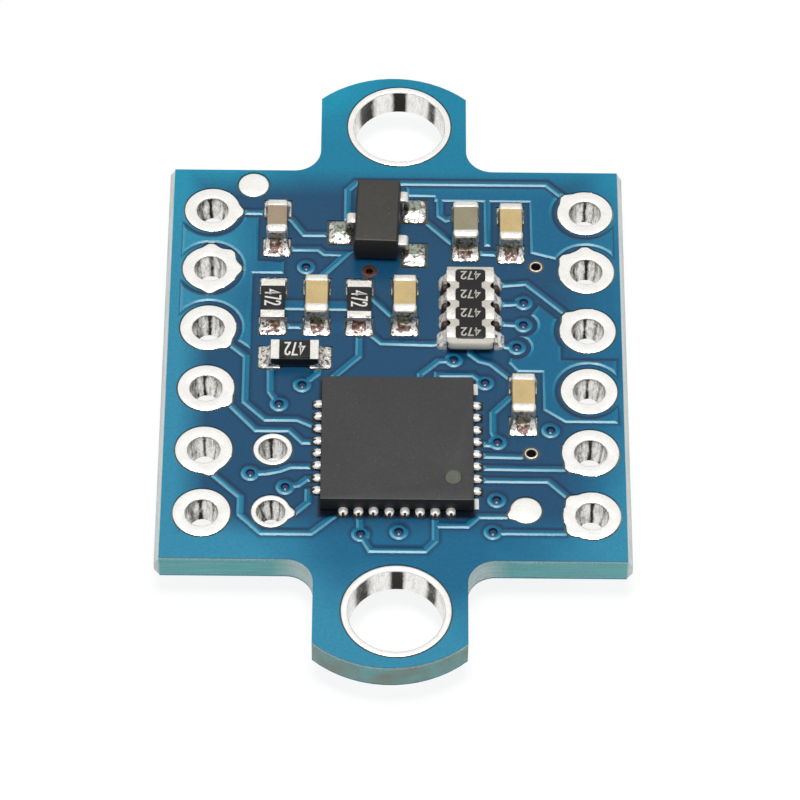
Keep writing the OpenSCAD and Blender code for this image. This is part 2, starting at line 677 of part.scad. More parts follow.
// Glass and resin laminate: scored long edges, routed tabs and drilled holes
module circuit_board() {
    color("#9cc4b4") difference() {
        linear_extrude(board_t) difference() {
            board_outline(board_w);
            drill_holes(plating_t);
            via_outlines(via_hole_d + 2 * via_wall);
        }
        for (side = [-1, 1], face = [0, 1]) {
            translate([board_shift, 0, face * board_t]) mirror([side > 0 ? 0 : 1, 0, 0])
                mirror([0, 0, face]) translate([board_w / 2, 0, 0]) rotate([90, 0, 0])
                    linear_extrude(board_l + 2 * past, center = true)
                        polygon([[-score_in, 0], [-score_in, -past], [past, -past],
                            [past, score_depth], [0, score_depth]]);
        }
    }
}

// Solder mask: level with the copper between the tracks and raised over them
module mask_layers(side) {
    linear_extrude(copper_t) difference() {
        board_outline(board_w - 2 * score_in);
        pads(mask_gap, side > 0);
        if (side > 0) upper_copper(); else lower_copper();
        via_outlines(via_ring_d);
        if (side > 0) {
            test_pad_outlines(mask_gap);
            chip_lands(mask_gap);
            mcu_lands(mask_gap);
        } else {
            low_lands(mask_gap);
        }
    }
    translate([0, 0, copper_t]) linear_extrude(mask_t) difference() {
        intersection() {
            board_outline(board_w - 2 * score_in);
            union() {
                if (side > 0) upper_copper(mask_side); else lower_copper(mask_side);
                via_outlines(via_ring_d + 2 * mask_side);
            }
        }
        pads(mask_gap, side > 0);
        via_outlines(via_hole_d);
        if (side > 0) {
            via_outlines(via_ring_d + 2 * mask_gap, BARE_VIAS);
            test_pad_outlines(mask_gap);
            chip_lands(mask_gap);
            mcu_lands(mask_gap);
        } else {
            low_lands(mask_gap);
        }
    }
}

module solder_mask_top() {
    color("#2a6a98") translate([0, 0, board_t]) mask_layers(1);
}
module solder_mask_bottom() {
    color("#2a6a98") underside() mask_layers(-1);
}

// Copper foil left on the faces: tracks, areas and the lands under the parts
module copper_top() {
    color("#c98a5a") translate([0, 0, board_t]) linear_extrude(copper_t) {
        difference() {
            union() {
                upper_copper();
                chip_lands();
                mcu_lands();
            }
            pads();
            test_pad_outlines();
            via_outlines(via_ring_d);
        }
    }
}
module copper_bottom() {
    color("#c98a5a") underside() linear_extrude(copper_t) {
        difference() {
            union() {
                lower_copper();
                low_lands();
            }
            pads(0, false);
            via_outlines(via_ring_d);
        }
    }
}

// Vias: a thin tube through the board with a ring on each face
module vias() {
    color("#c9b29a") for (k = ALL_VIAS) {
        at(via(k)) rotate_extrude($fn = 32) {
            translate([via_hole_d / 2, -copper_t]) square([via_wall, board_t + 2 * copper_t]);
            for (z = [-copper_t, board_t]) {
                translate([via_hole_d / 2, z]) square([(via_ring_d - via_hole_d) / 2, copper_t]);
            }
        }
    }
}

// Plated hole: a tube with a tinned ring on each face, its outer edge eased
module plated_hole(hole_d, pad_d) {
    bore = hole_d / 2;
    rim = pad_d / 2;
    rotate_extrude() polygon([
        [bore, -pad_h], [rim - tin_t, -pad_h], [rim, -copper_t], [rim, 0],
        [bore + plating_t, 0], [bore + plating_t, board_t], [rim, board_t],
        [rim, board_t + copper_t], [rim - tin_t, board_t + pad_h], [bore, board_t + pad_h]
    ]);
}

module mounting_barrel(end) {
    color("#e6e4de") at([0, end * mount_gap / 2], 0)
        plated_hole(mount_hole_d, mount_hole_d + 2 * mount_ring_w, $fn = 96);
}
module barrel_mounting_far() { mounting_barrel(1); }
module barrel_mounting_near() { mounting_barrel(-1); }

module pin_barrel(side, row) {
    angles = side > 0 ? RIGHT_TAILS[row] : LEFT_TAILS[row];
    color("#e6e4de") at(pin_at(side, row)) {
        plated_hole(pin_hole_d, pin_pad_d);
        translate([0, 0, board_t]) linear_extrude(copper_t) tails(angles, pin_pad_d, pin_tail);
    }
}
module barrel_left_1() { pin_barrel(-1, 0); }
module barrel_left_2() { pin_barrel(-1, 1); }
module barrel_left_3() { pin_barrel(-1, 2); }
module barrel_left_4() { pin_barrel(-1, 3); }
module barrel_left_5() { pin_barrel(-1, 4); }
module barrel_left_6() { pin_barrel(-1, 5); }
module barrel_right_1() { pin_barrel(1, 0); }
module barrel_right_2() { pin_barrel(1, 1); }
module barrel_right_3() { pin_barrel(1, 2); }
module barrel_right_4() { pin_barrel(1, 3); }
module barrel_right_5() { pin_barrel(1, 4); }
module barrel_right_6() { pin_barrel(1, 5); }

module barrels_wire_holes() {
    color("#e6e4de") for (hole = WIRE_HOLES) at(hole[0]) {
        plated_hole(wire_hole_d, wire_pad_d);
        translate([0, 0, board_t]) linear_extrude(copper_t) tails(hole[1], wire_pad_d, wire_tail);
    }
}

// Tinned test pads on the upper face
module test_pads() {
    color("#e6e4de") for (pad = TEST_PADS) at(pad[0], board_t) {
        cylinder(d = test_pad_d, h = copper_t);
        translate([0, 0, copper_t])
            cylinder(d1 = test_pad_d, d2 = test_pad_d - 2 * tin_t, h = tin_t);
        linear_extrude(copper_t) tails(pad[1], test_pad_d, test_tail);
    }
}

// Terminals of the microcontroller as seen from above: four rows of leads, of
// the given length from the package's side, a tie at each corner, and the pad
module mcu_metal_outline(lead_l) {
    for (turn = [0, 90, 180, 270]) {
        for (k = MCU_SIDE) {
            rotate(turn) translate([(k - 3.5) * mcu_pitch, (lead_l - mcu_w) / 2 - lead_l + mcu_lead_l])
                land([mcu_lead_w, lead_l], 0);
        }
        intersection() {
            soft_square([mcu_w, mcu_w], chip_round);
            rotate(turn + 45) translate([mcu_w / sqrt(2) - mcu_tie_l, -mcu_tie_w / 2])
                square([mcu_tie_l, mcu_tie_w]);
        }
    }
    land([mcu_pad_w, mcu_pad_w], 0);
}
module mcu_body() {
    color("#38373a") at(mcu_at, board_t + seat_h) difference() {
        linear_extrude(mcu_h) soft_square([mcu_w, mcu_w], chip_round);
        translate([0, 0, -past]) linear_extrude(mcu_lead_t + past)
            mcu_metal_outline(2 * mcu_lead_l);
        translate([mcu_w / 2 - mcu_mark_in, mcu_mark_in - mcu_w / 2, mcu_h - mcu_mark_deep])
            cylinder(d = mcu_mark_d, h = past);
    }
}
module mcu_terminals() {
    color("#d9d6cf") at(mcu_at, board_t + seat_h)
        linear_extrude(mcu_lead_t) mcu_metal_outline(mcu_lead_l);
}

// Moulded body of the regulator: drafted up and down from its middle
reg_middle = reg_standoff + reg_h / 2;
module reg_profile(w) {
    polygon([
        [-w / 2, reg_middle], [-w / 2 + reg_draft, reg_standoff],
        [w / 2 - reg_draft, reg_standoff], [w / 2, reg_middle],
        [w / 2 - reg_draft, reg_standoff + reg_h], [-w / 2 + reg_draft, reg_standoff + reg_h]
    ]);
}
module reg_place() {
    at(reg_at + [0, reg_slip], board_t + seat_h) children();
}
// Bent lead, drawn towards +X from inside the body: a root in the body, a bend
// down to the foot, and the foot on its land
module reg_lead_profile() {
    foot_top = reg_lead_t;
    tip = reg_span / 2;
    knee = tip - reg_foot;
    root_z = reg_middle - reg_lead_t / 2;
    bend = reg_lead_t * reg_bend;
    difference() {
        union() {
            translate([knee, 0]) square([reg_foot, foot_top]);
            translate([knee - reg_lead_t, bend])
                square([reg_lead_t, root_z + reg_lead_t - 2 * bend]);
            translate([reg_w / 2 - reg_root, root_z])
                square([knee - bend - reg_w / 2 + reg_root, reg_lead_t]);
            translate([knee, bend]) intersection() {
                circle(r = bend);
                translate([-bend, -bend]) square(bend);
            }
            translate([knee - bend, root_z + reg_lead_t - bend]) intersection() {
                circle(r = bend);
                square(bend);
            }
        }
        translate([knee, bend]) circle(r = bend - reg_lead_t);
        translate([knee - bend, root_z + reg_lead_t - bend]) circle(r = bend - reg_lead_t);
    }
}
module reg_lead(k) {
    mirror([REG_LANDS[k][0] > 0 ? 0 : 1, 0, 0])
        translate([0, REG_LANDS[k][1] * reg_pitch / 2, 0])
            rotate([90, 0, 0]) linear_extrude(reg_lead_w, center = true) reg_lead_profile();
}
module regulator_body() {
    color("#3a3735") reg_place() difference() {
        intersection() {
            rotate([90, 0, 0]) linear_extrude(reg_l, center = true) reg_profile(reg_w);
            rotate([90, 0, 90]) linear_extrude(reg_w, center = true) reg_profile(reg_l);
        }
        for (k = [0:2]) reg_lead(k);
    }
}
module regulator_leads() {
    color("#d9d6cf") reg_place() for (k = [0:2]) reg_lead(k);
}

// Chip capacitor along Y, standing on z = 0: ceramic block and metal ends
module cap_block(size) {
    translate([0, 0, end_t]) soft_box(size - 2 * end_t * [1, 1, 1], chip_round - end_t);
}
module cap_ends(size, band) {
    difference() {
        soft_box(size, chip_round);
        translate([0, 0, size[2] / 2])
            cube([size[0] + past, size[1] - 2 * band, size[2] + past], center = true);
        cap_block(size);
    }
}
CAP = [cap_w, cap_l, cap_h];
SMALL_CAP = cap_1_share * CAP;
BROAD_CAP = [broad_cap_w, cap_l, cap_h];
module cap_body_at(p, size, tint) {
    color(tint) at(p, board_t + seat_h) cap_block(size);
}
module cap_ends_at(p, size) {
    color("#dedbd5") at(p, board_t + seat_h) cap_ends(size, cap_band);
}
module capacitor_1_body() { cap_body_at(cap_1_at, SMALL_CAP, "#a5917d"); }
module capacitor_1_ends() { cap_ends_at(cap_1_at, SMALL_CAP); }
module capacitor_2_body() { cap_body_at(cap_2_at, BROAD_CAP, "#97916e"); }
module capacitor_2_ends() { cap_ends_at(cap_2_at, BROAD_CAP); }
module capacitor_3_body() { cap_body_at(cap_3_at, CAP, "#d4b97d"); }
module capacitor_3_ends() { cap_ends_at(cap_3_at, CAP); }
module capacitor_4_body() { cap_body_at(cap_4_at, CAP, "#d4b97d"); }
module capacitor_4_ends() { cap_ends_at(cap_4_at, CAP); }
module capacitor_5_body() { cap_body_at(cap_5_at, CAP, "#d4b97d"); }
module capacitor_5_ends() { cap_ends_at(cap_5_at, CAP); }
module capacitor_6_body() { cap_body_at(cap_6_at, CAP, "#d4b97d"); }
module capacitor_6_ends() { cap_ends_at(cap_6_at, CAP); }

LOW_CAP = [low_cap_w, low_cap_l, low_cap_h];
module low_cap_body_at(p) {
    color("#c9ad76") underside() at(p, seat_h) cap_block(LOW_CAP);
}
module low_cap_ends_at(p) {
    color("#dedbd5") underside() at(p, seat_h) cap_ends(LOW_CAP, low_cap_band);
}
module low_capacitor_1_body() { low_cap_body_at(low_cap_1_at); }
module low_capacitor_1_ends() { low_cap_ends_at(low_cap_1_at); }
module low_capacitor_2_body() { low_cap_body_at(low_cap_2_at); }
module low_capacitor_2_ends() { low_cap_ends_at(low_cap_2_at); }

// Chip resistor along Y, standing on z = 0: white base, black coat, metal ends
module res_base_block(grow = 0) {
    translate([0, 0, res_h / 2])
        cube([res_w + 2 * grow, res_l - 2 * end_t, res_h - 2 * end_t], center = true);
}
module res_place(p, turn) {
    at(p, board_t + seat_h) rotate(turn) children();
}
module res_base(p, turn) {
    color("#e2dfd8") res_place(p, turn) res_base_block();
}
module res_coat(p, turn) {
    color("#1d1c1c") res_place(p, turn) translate([0, 0, res_h - end_t])
        linear_extrude(coat_t) land([res_w - 2 * coat_side, res_l - 2 * res_band], 0);
}
module res_ends(p, turn) {
    color("#dedbd5") res_place(p, turn) difference() {
        translate([0, 0, res_h / 2]) rotate([90, 0, 90])
            linear_extrude(res_w, center = true) soft_square([res_l, res_h], end_t);
        translate([0, 0, res_h / 2])
            cube([res_w + past, res_l - 2 * res_band, res_h + past], center = true);
        res_base_block(past);
    }
}
module resistor_1_base() { res_base(res_1_at, 0); }
module resistor_1_coat() { res_coat(res_1_at, 0); }
module resistor_1_ends() { res_ends(res_1_at, 0); }
module resistor_2_base() { res_base(res_2_at, 0); }
module resistor_2_coat() { res_coat(res_2_at, 0); }
module resistor_2_ends() { res_ends(res_2_at, 0); }
module resistor_3_base() { res_base(res_3_at, 90); }
module resistor_3_coat() { res_coat(res_3_at, 90); }
module resistor_3_ends() { res_ends(res_3_at, 90); }

// Array of four resistors: one white base with notched sides
module array_place() {
    at(array_at, board_t + seat_h) children();
}
module array_notches() {
    for (side = [-1, 1], k = [-1:1]) {
        translate([side * array_w / 2, k * array_pitch]) circle(d = array_notch_d);
    }
}
module array_base_block(w) {
    translate([0, 0, end_t]) linear_extrude(array_h - 2 * end_t)
        square([w, array_l], center = true);
}
module resistor_array_base() {
    color("#e2dfd8") array_place() difference() {
        array_base_block(array_w - 2 * end_t);
        translate([0, 0, -past]) linear_extrude(array_h + 2 * past) array_notches();
    }
}
module resistor_array_coat() {
    coat_w = array_w - 2 * array_band;
    color("#1d1c1c") array_place() translate([0, 0, array_h - end_t]) linear_extrude(coat_t) {
        square([coat_w - array_waist, 3 * array_pitch], center = true);
        for (k = ARRAY_SIDE) {
            translate([0, (k - 1.5) * array_pitch])
                soft_square([coat_w, array_lobe_w], array_lobe_round);
        }
    }
}
module resistor_array_ends() {
    color("#dedbd5") array_place() difference() {
        for (side = [-1, 1], k = ARRAY_SIDE) {
            translate([side * (array_w - array_band) / 2, (k - 1.5) * array_pitch, array_h / 2])
                cube([array_band, array_lead_w, array_h], center = true);
        }
        array_base_block(array_w - 2 * end_t);
    }
}

// Solder fillet against the end of a chip at y = 0, running out along +Y
module solder_fillet(l, h, w) {
    rotate([90, 0, 90]) linear_extrude(w, center = true)
        polygon(concat([[0, 0]], [for (a = [0:15:90]) [l - l * cos(a), h - h * sin(a)]]));
}
// Solder of one chip end: a film over the land and a fillet up the end
module end_solder(size, reach, chip_l, h) {
    translate([0, reach - size[1] / 2, 0]) linear_extrude(solder_t) land(size, 0);
    translate([0, chip_l / 2, solder_t])
        solder_fillet(reach - chip_l / 2, h, size[0] - 2 * solder_side);
}
module chip_solder(p, turn, chip_l, h) {
    at(p, board_t + copper_t) for (end = [0, 180]) {
        rotate(turn + end) end_solder([land_w, land_l], land_reach, chip_l, h);
    }
}
module solder_top() {
    color("#d2cfc8") {
        chip_solder(cap_1_at, 0, SMALL_CAP[1], cap_1_share * cap_solder_h);
        for (k = [1:5]) chip_solder(CAPS[k], 0, cap_l, cap_solder_h);
        for (p = [res_1_at, res_2_at]) chip_solder(p, 0, res_l, res_solder_h);
        chip_solder(res_3_at, 90, res_l, res_solder_h);
        for (side = [-1, 1], k = ARRAY_SIDE) {
            at(array_at + [0, (k - 1.5) * array_pitch], board_t + copper_t) rotate(-side * 90)
                end_solder([array_lead_w, array_land_l], array_reach, array_w, array_solder_h);
        }
        for (turn = [0, 90, 180, 270], k = MCU_SIDE) {
            at(mcu_at, board_t + copper_t) rotate(turn) translate([(k - 3.5) * mcu_pitch, 0, 0])
                end_solder([mcu_lead_w, mcu_land_l], mcu_w / 2 + mcu_land_out, mcu_w, mcu_solder_h);
        }
        at(mcu_at, board_t + copper_t) linear_extrude(solder_t) land([mcu_pad_w, mcu_pad_w], 0);
        for (k = [0:2]) {
            at(reg_land_at(k), board_t + copper_t)
                linear_extrude(solder_t) land([reg_land_l, reg_land_w], 0);
        }
    }
}

// Sensor: carrier, black cover with two round openings, and clear windows
module sensor_place() {
    underside() at(sensor_at, seat_h) children();
}
SENSOR_EYES = [[-1, receiver_d], [1, emitter_d]];
module sensor_base() {
    color("#5d7a4c") sensor_place() linear_extrude(sensor_base_h)
        square([sensor_w, sensor_l], center = true);
}
module sensor_cover() {
    color("#232323") sensor_place() translate([0, 0, sensor_base_h]) difference() {
        linear_extrude(sensor_cover_h) soft_square([sensor_w, sensor_l], chip_round);
        for (eye = SENSOR_EYES) {
            translate([0, eye[0] * sensor_eyes / 2, 0]) {
                translate([0, 0, -past]) cylinder(d = eye[1], h = sensor_cover_h + 2 * past);
                translate([0, 0, sensor_cover_h - eye_flare])
                    cylinder(d1 = eye[1], d2 = eye[1] + 4 * eye_flare, h = 2 * eye_flare);
            }
        }
    }
}
module sensor_windows() {
    color("#6a5560") sensor_place() translate([0, 0, sensor_base_h]) for (eye = SENSOR_EYES) {
        translate([0, eye[0] * sensor_eyes / 2, 0]) cylinder(d = eye[1], h = window_t);
    }
}
module solder_bottom() {
    color("#d2cfc8") underside() {
        for (side = [-1, 1], k = SENSOR_SIDE) {
            at(sensor_land_at(side, k), copper_t)
                linear_extrude(solder_t) land([sensor_land_l, sensor_land_w], 0);
        }
        for (p = LOW_CAPS, end = [0, 180]) {
            at(p, copper_t) rotate(end)
                end_solder([low_land_w, low_land_l], low_reach, low_cap_l, low_solder_h);
        }
    }
}

circuit_board();
solder_mask_top();
solder_mask_bottom();
copper_top();
copper_bottom();
vias();
barrel_mounting_far();
barrel_mounting_near();
barrel_left_1();
barrel_left_2();
barrel_left_3();
barrel_left_4();
barrel_left_5();
barrel_left_6();
barrel_right_1();
barrel_right_2();
barrel_right_3();
barrel_right_4();
barrel_right_5();
barrel_right_6();
barrels_wire_holes();
test_pads();
mcu_body();
mcu_terminals();
regulator_body();
regulator_leads();
capacitor_1_body();
capacitor_1_ends();
capacitor_2_body();
capacitor_2_ends();
capacitor_3_body();
capacitor_3_ends();
capacitor_4_body();
capacitor_4_ends();
capacitor_5_body();
capacitor_5_ends();
capacitor_6_body();
capacitor_6_ends();
resistor_1_base();
resistor_1_coat();
resistor_1_ends();
resistor_2_base();
resistor_2_coat();
resistor_2_ends();
resistor_3_base();
resistor_3_coat();
resistor_3_ends();
resistor_array_base();
resistor_array_coat();
resistor_array_ends();
solder_top();
sensor_base();
sensor_cover();
sensor_windows();
low_capacitor_1_body();
low_capacitor_1_ends();
low_capacitor_2_body();
low_capacitor_2_ends();
solder_bottom();
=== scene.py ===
import json
import math
import random

import bmesh
import bpy
from mathutils import Matrix, Vector, noise
from mathutils.bvhtree import BVHTree
from mathutils.geometry import delaunay_2d_cdt


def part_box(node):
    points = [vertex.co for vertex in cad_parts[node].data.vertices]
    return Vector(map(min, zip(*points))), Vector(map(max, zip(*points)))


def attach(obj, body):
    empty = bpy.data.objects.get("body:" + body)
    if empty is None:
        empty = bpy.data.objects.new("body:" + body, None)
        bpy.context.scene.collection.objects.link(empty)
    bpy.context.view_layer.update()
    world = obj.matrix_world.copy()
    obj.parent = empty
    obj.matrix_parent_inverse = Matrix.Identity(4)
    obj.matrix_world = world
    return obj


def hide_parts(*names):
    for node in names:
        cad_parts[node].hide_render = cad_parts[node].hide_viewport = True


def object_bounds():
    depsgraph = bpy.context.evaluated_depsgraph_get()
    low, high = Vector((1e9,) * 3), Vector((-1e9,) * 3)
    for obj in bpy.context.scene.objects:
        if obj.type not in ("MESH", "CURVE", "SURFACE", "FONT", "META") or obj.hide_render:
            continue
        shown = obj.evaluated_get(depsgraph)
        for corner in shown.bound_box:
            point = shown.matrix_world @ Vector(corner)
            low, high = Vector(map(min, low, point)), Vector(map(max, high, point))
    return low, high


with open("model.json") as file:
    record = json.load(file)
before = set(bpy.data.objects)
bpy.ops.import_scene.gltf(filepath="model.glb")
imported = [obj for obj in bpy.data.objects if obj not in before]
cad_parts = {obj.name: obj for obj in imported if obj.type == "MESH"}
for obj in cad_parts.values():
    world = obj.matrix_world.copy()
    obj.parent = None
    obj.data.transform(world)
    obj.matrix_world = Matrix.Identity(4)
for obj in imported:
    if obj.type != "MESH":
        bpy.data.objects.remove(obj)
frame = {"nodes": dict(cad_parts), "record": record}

bl_info = {
    "name": "Time-of-flight sensor module",
    "version": (1, 0, 0),
    "blender": (4, 5, 0),
    "location": "View3D > Sidebar > Sensor module",
    "description": "Finishes, solder, plated holes and studio for the packed sensor module",
    "category": "Object",
}

CAD_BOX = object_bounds()
MM = 0.001
NODES = frame["nodes"]
MOUNTS = {mount["name"]: mount for mount in frame["record"]["mounts"]}
# Faces of the level solder mask, of a bare pad and of the raised mask, in millimetres
MASK_Z, PAD_Z, RAISED_Z = 0.965, 0.985, 0.99
# Upper face of the laminate, upper face of its copper and underside of the chips
BOARD_T = 0.93
COPPER_Z = BOARD_T + 0.035
SEAT_Z = 0.995
# Thickness of the wall of a plated hole
BARREL_T = 0.05
# Thickness of the solder at the border of a chip's land and of a lead's land
CHIP_FILM, LEAD_FILM = 0.03, 0.035
# Pitch of the array's terminals and of the controller's
ARRAY_PITCH, LEAD_PITCH = 0.8, 0.5


def srgb(code):
    """Linear colour, with alpha, of an sRGB hex code."""
    parts = [int(code[i:i + 2], 16) / 255 for i in (0, 2, 4)]
    return tuple(c / 12.92 if c <= 0.04045 else ((c + 0.055) / 1.055) ** 2.4 for c in parts) + (1.0,)


def colour(label, about, code):
    return bpy.props.FloatVectorProperty(
        name=label, description=about, default=srgb(code), size=4, subtype="COLOR", min=0, max=1)


def length(label, about, millimetres):
    return bpy.props.FloatProperty(
        name=label, description=about, default=millimetres * MM, unit="LENGTH", subtype="DISTANCE",
        precision=6)


class BoardFinish(bpy.types.PropertyGroup):
    mask_on_copper: colour("Mask over copper", "Solder mask where copper lies under it", "0a6a92")
    mask_on_board: colour("Mask over laminate", "Solder mask between the tracks", "144e73")
    # painted highlight: a whitish tone on shoulders that face the near side
    mask_thin: colour("Thin mask", "Solder mask on the near shoulder of a track", "7dbcd0")
    mask_shoulder: colour("Mask on a shoulder", "Solder mask on the slopes beside a track", "1690b4")
    # partly painted shade: the dark pooled tone, strongest at feet that face away from the near side
    mask_thick_and_shade: colour("Thick mask", "Solder mask pooled at the far foot of a track", "0a3558")
    # painted light: the brighter tones of the far tab and of the near and left borders, a painted glow of
    # light from below
    mask_rim_glow: colour("Mask of the far tab", "Solder mask of the far tab, lit from below", "10a7c6")
    mask_pale_glow: colour("Mask of the near rim", "Solder mask of the near and left borders", "3a9cbd")
    # partly painted shadow: the dark mask beside the controller
    mask_residue_and_shadow: colour("Mask under residue", "Solder mask under the flux round the controller", "06111e")
    laminate: colour("Laminate", "Cut glass-epoxy laminate", "77cacc")
    laminate_skin: colour("Laminate face", "Resin-rich face of the laminate", "324c4c")
    laminate_worn: colour("Worn laminate", "Grey-brown patches on the walls of the tabs", "8f8f7e")
    laminate_pale: colour("Frosted laminate", "Laminate whitened by the cutter", "fbfdf9")
    tin: colour("Tin", "Bright tin on pads and in holes", "f1efeb")
    # painted reflection: the dark bands down the bores
    tin_dark_reflection: colour("Tin streaks", "Dull streaks down a plated hole", "2b2926")
    bare_copper: colour("Bare copper", "Ring of the one via left without tin", "7f524b")
    copper: colour("Copper foil", "Border of the etched and tinned foil round the solder", "5f594e")
    slope: length("Shoulder of the mask", "Width of the slope of the mask beside a track", 0.068)
    # the painted highlight fades out over this width
    fade: length("Fade of the thin mask", "Width over which the mask thickens again", 0.025)
    # partly painted shade: the pooled foot beside a track
    foot: length("Foot of a track", "Width of the pooled mask beside a track", 0.05)
    ring_dome: length("Dome of a ring", "Rise of the tin on the ring of a hole", 0.018)
    bore_round: length("Rounding of a bore", "Radius at the mouth of a plated hole", 0.05)
    flute: length("Flutes of a bore", "Depth of the drill marks down a plated hole", 0.016)


class PartFinish(bpy.types.PropertyGroup):
    moulding: colour("Moulding", "Epoxy moulding of the microcontroller", "383738")
    moulding_2: colour("Regulator moulding", "Epoxy moulding of the regulator", "383631")
    speck: colour("Filler grain", "Silica grains in the moulding", "97959a")
    # also the painted highlight on the near rounded edge of the moulded bodies
    mark: colour("First-terminal mark", "Floor of the round mark", "62665a")
    # partly painted shade: the dark sides of the moulded bodies
    sawn_and_shaded: colour("Sawn moulding", "Smooth sides of a moulded body", "151414")
    tan: colour("Tan ceramic", "Body of four capacitors", "d9be86")
    brown: colour("Brown ceramic", "Body of the capacitor by the first left pin", "a9947d")
    olive: colour("Olive ceramic", "Body of the broad capacitor", "9a9378")
    alumina: colour("Alumina", "White base of the resistors", "d9d4c8")
    glaze: colour("Glaze", "Black coat of the resistors", "161516")
    ink: colour("Ink", "Number on a resistor and marks on the board", "f6f4ee")
    faint_ink: colour("Faint ink", "Thin number on the array", "cfccc3")
    ends: colour("Chip ends", "Tinned ends of the chips", "e4e1da")
    solder: colour("Solder", "Reflowed solder", "dedbd4")
    # partly painted reflection: the brown tone in the hollow of a fillet
    flux: colour("Flux stain", "Burnt flux left in the hollow of a fillet", "6c453a")
    burnt: colour("Burnt flux", "Black residue under the arch of a terminal", "1b1815")
    # partly painted reflection: the grey-green tone on the regulator's solder
    dull: colour("Dull solder", "Frosted grey-green skin of slowly cooled solder", "a3aa9b")
    frost: colour("Frosted solder", "Pale skin of the array's solder", "f8f5ef")
    film: colour("Flux film", "Thin dull film of flux on a metal end", "7d7657")
    edge_round: length("Edge rounding", "Rounding of moulded and cut edges", 0.02)
    end_bulge: length("Bulge of a metal end", "Swell of a capacitor's end over its body", 0.015)


class StudioSettings(bpy.types.PropertyGroup):
    floor: colour("Floor", "Plain pale floor", "ffffff")
    ambient: bpy.props.FloatProperty(
        name="Ambient", description="Strength of the even light from all around", default=0.24, min=0)
    top_power: bpy.props.FloatProperty(
        name="Top power", description="Watts of the softbox overhead", default=0.54, min=0)
    side_power: bpy.props.FloatProperty(
        name="Side power", description="Watts of the narrow side lights", default=0.02, min=0)
    focal: bpy.props.FloatProperty(
        name="Focal length", description="Focal length in millimetres on a 36 mm sensor",
        default=211.84, min=1)


def settings(name):
    return getattr(bpy.context.scene, name)


# Materials


def add_node(tree, kind, inputs=None, **fields):
    """Adds one node with its settings, and sets or links its inputs."""
    node = tree.nodes.new(kind)
    for field, value in fields.items():
        setattr(node, field, value)
    for key, value in (inputs or {}).items():
        if isinstance(value, bpy.types.NodeSocket):
            tree.links.new(value, node.inputs[key])
        else:
            node.inputs[key].default_value = value
    return node


def start(name):
    """A new empty material, its tree and the object's own coordinates in millimetres."""
    material = bpy.data.materials.new(name)
    material.use_nodes = True
    tree = material.node_tree
    tree.nodes.clear()
    coords = add_node(tree, "ShaderNodeTexCoord").outputs["Object"]
    in_mm = add_node(tree, "ShaderNodeVectorMath", {0: coords, "Scale": 1 / MM}, operation="SCALE")
    return material, tree, in_mm.outputs["Vector"]


def end(material, tree, shader):
    add_node(tree, "ShaderNodeOutputMaterial", {"Surface": shader.outputs[0]})
    return material


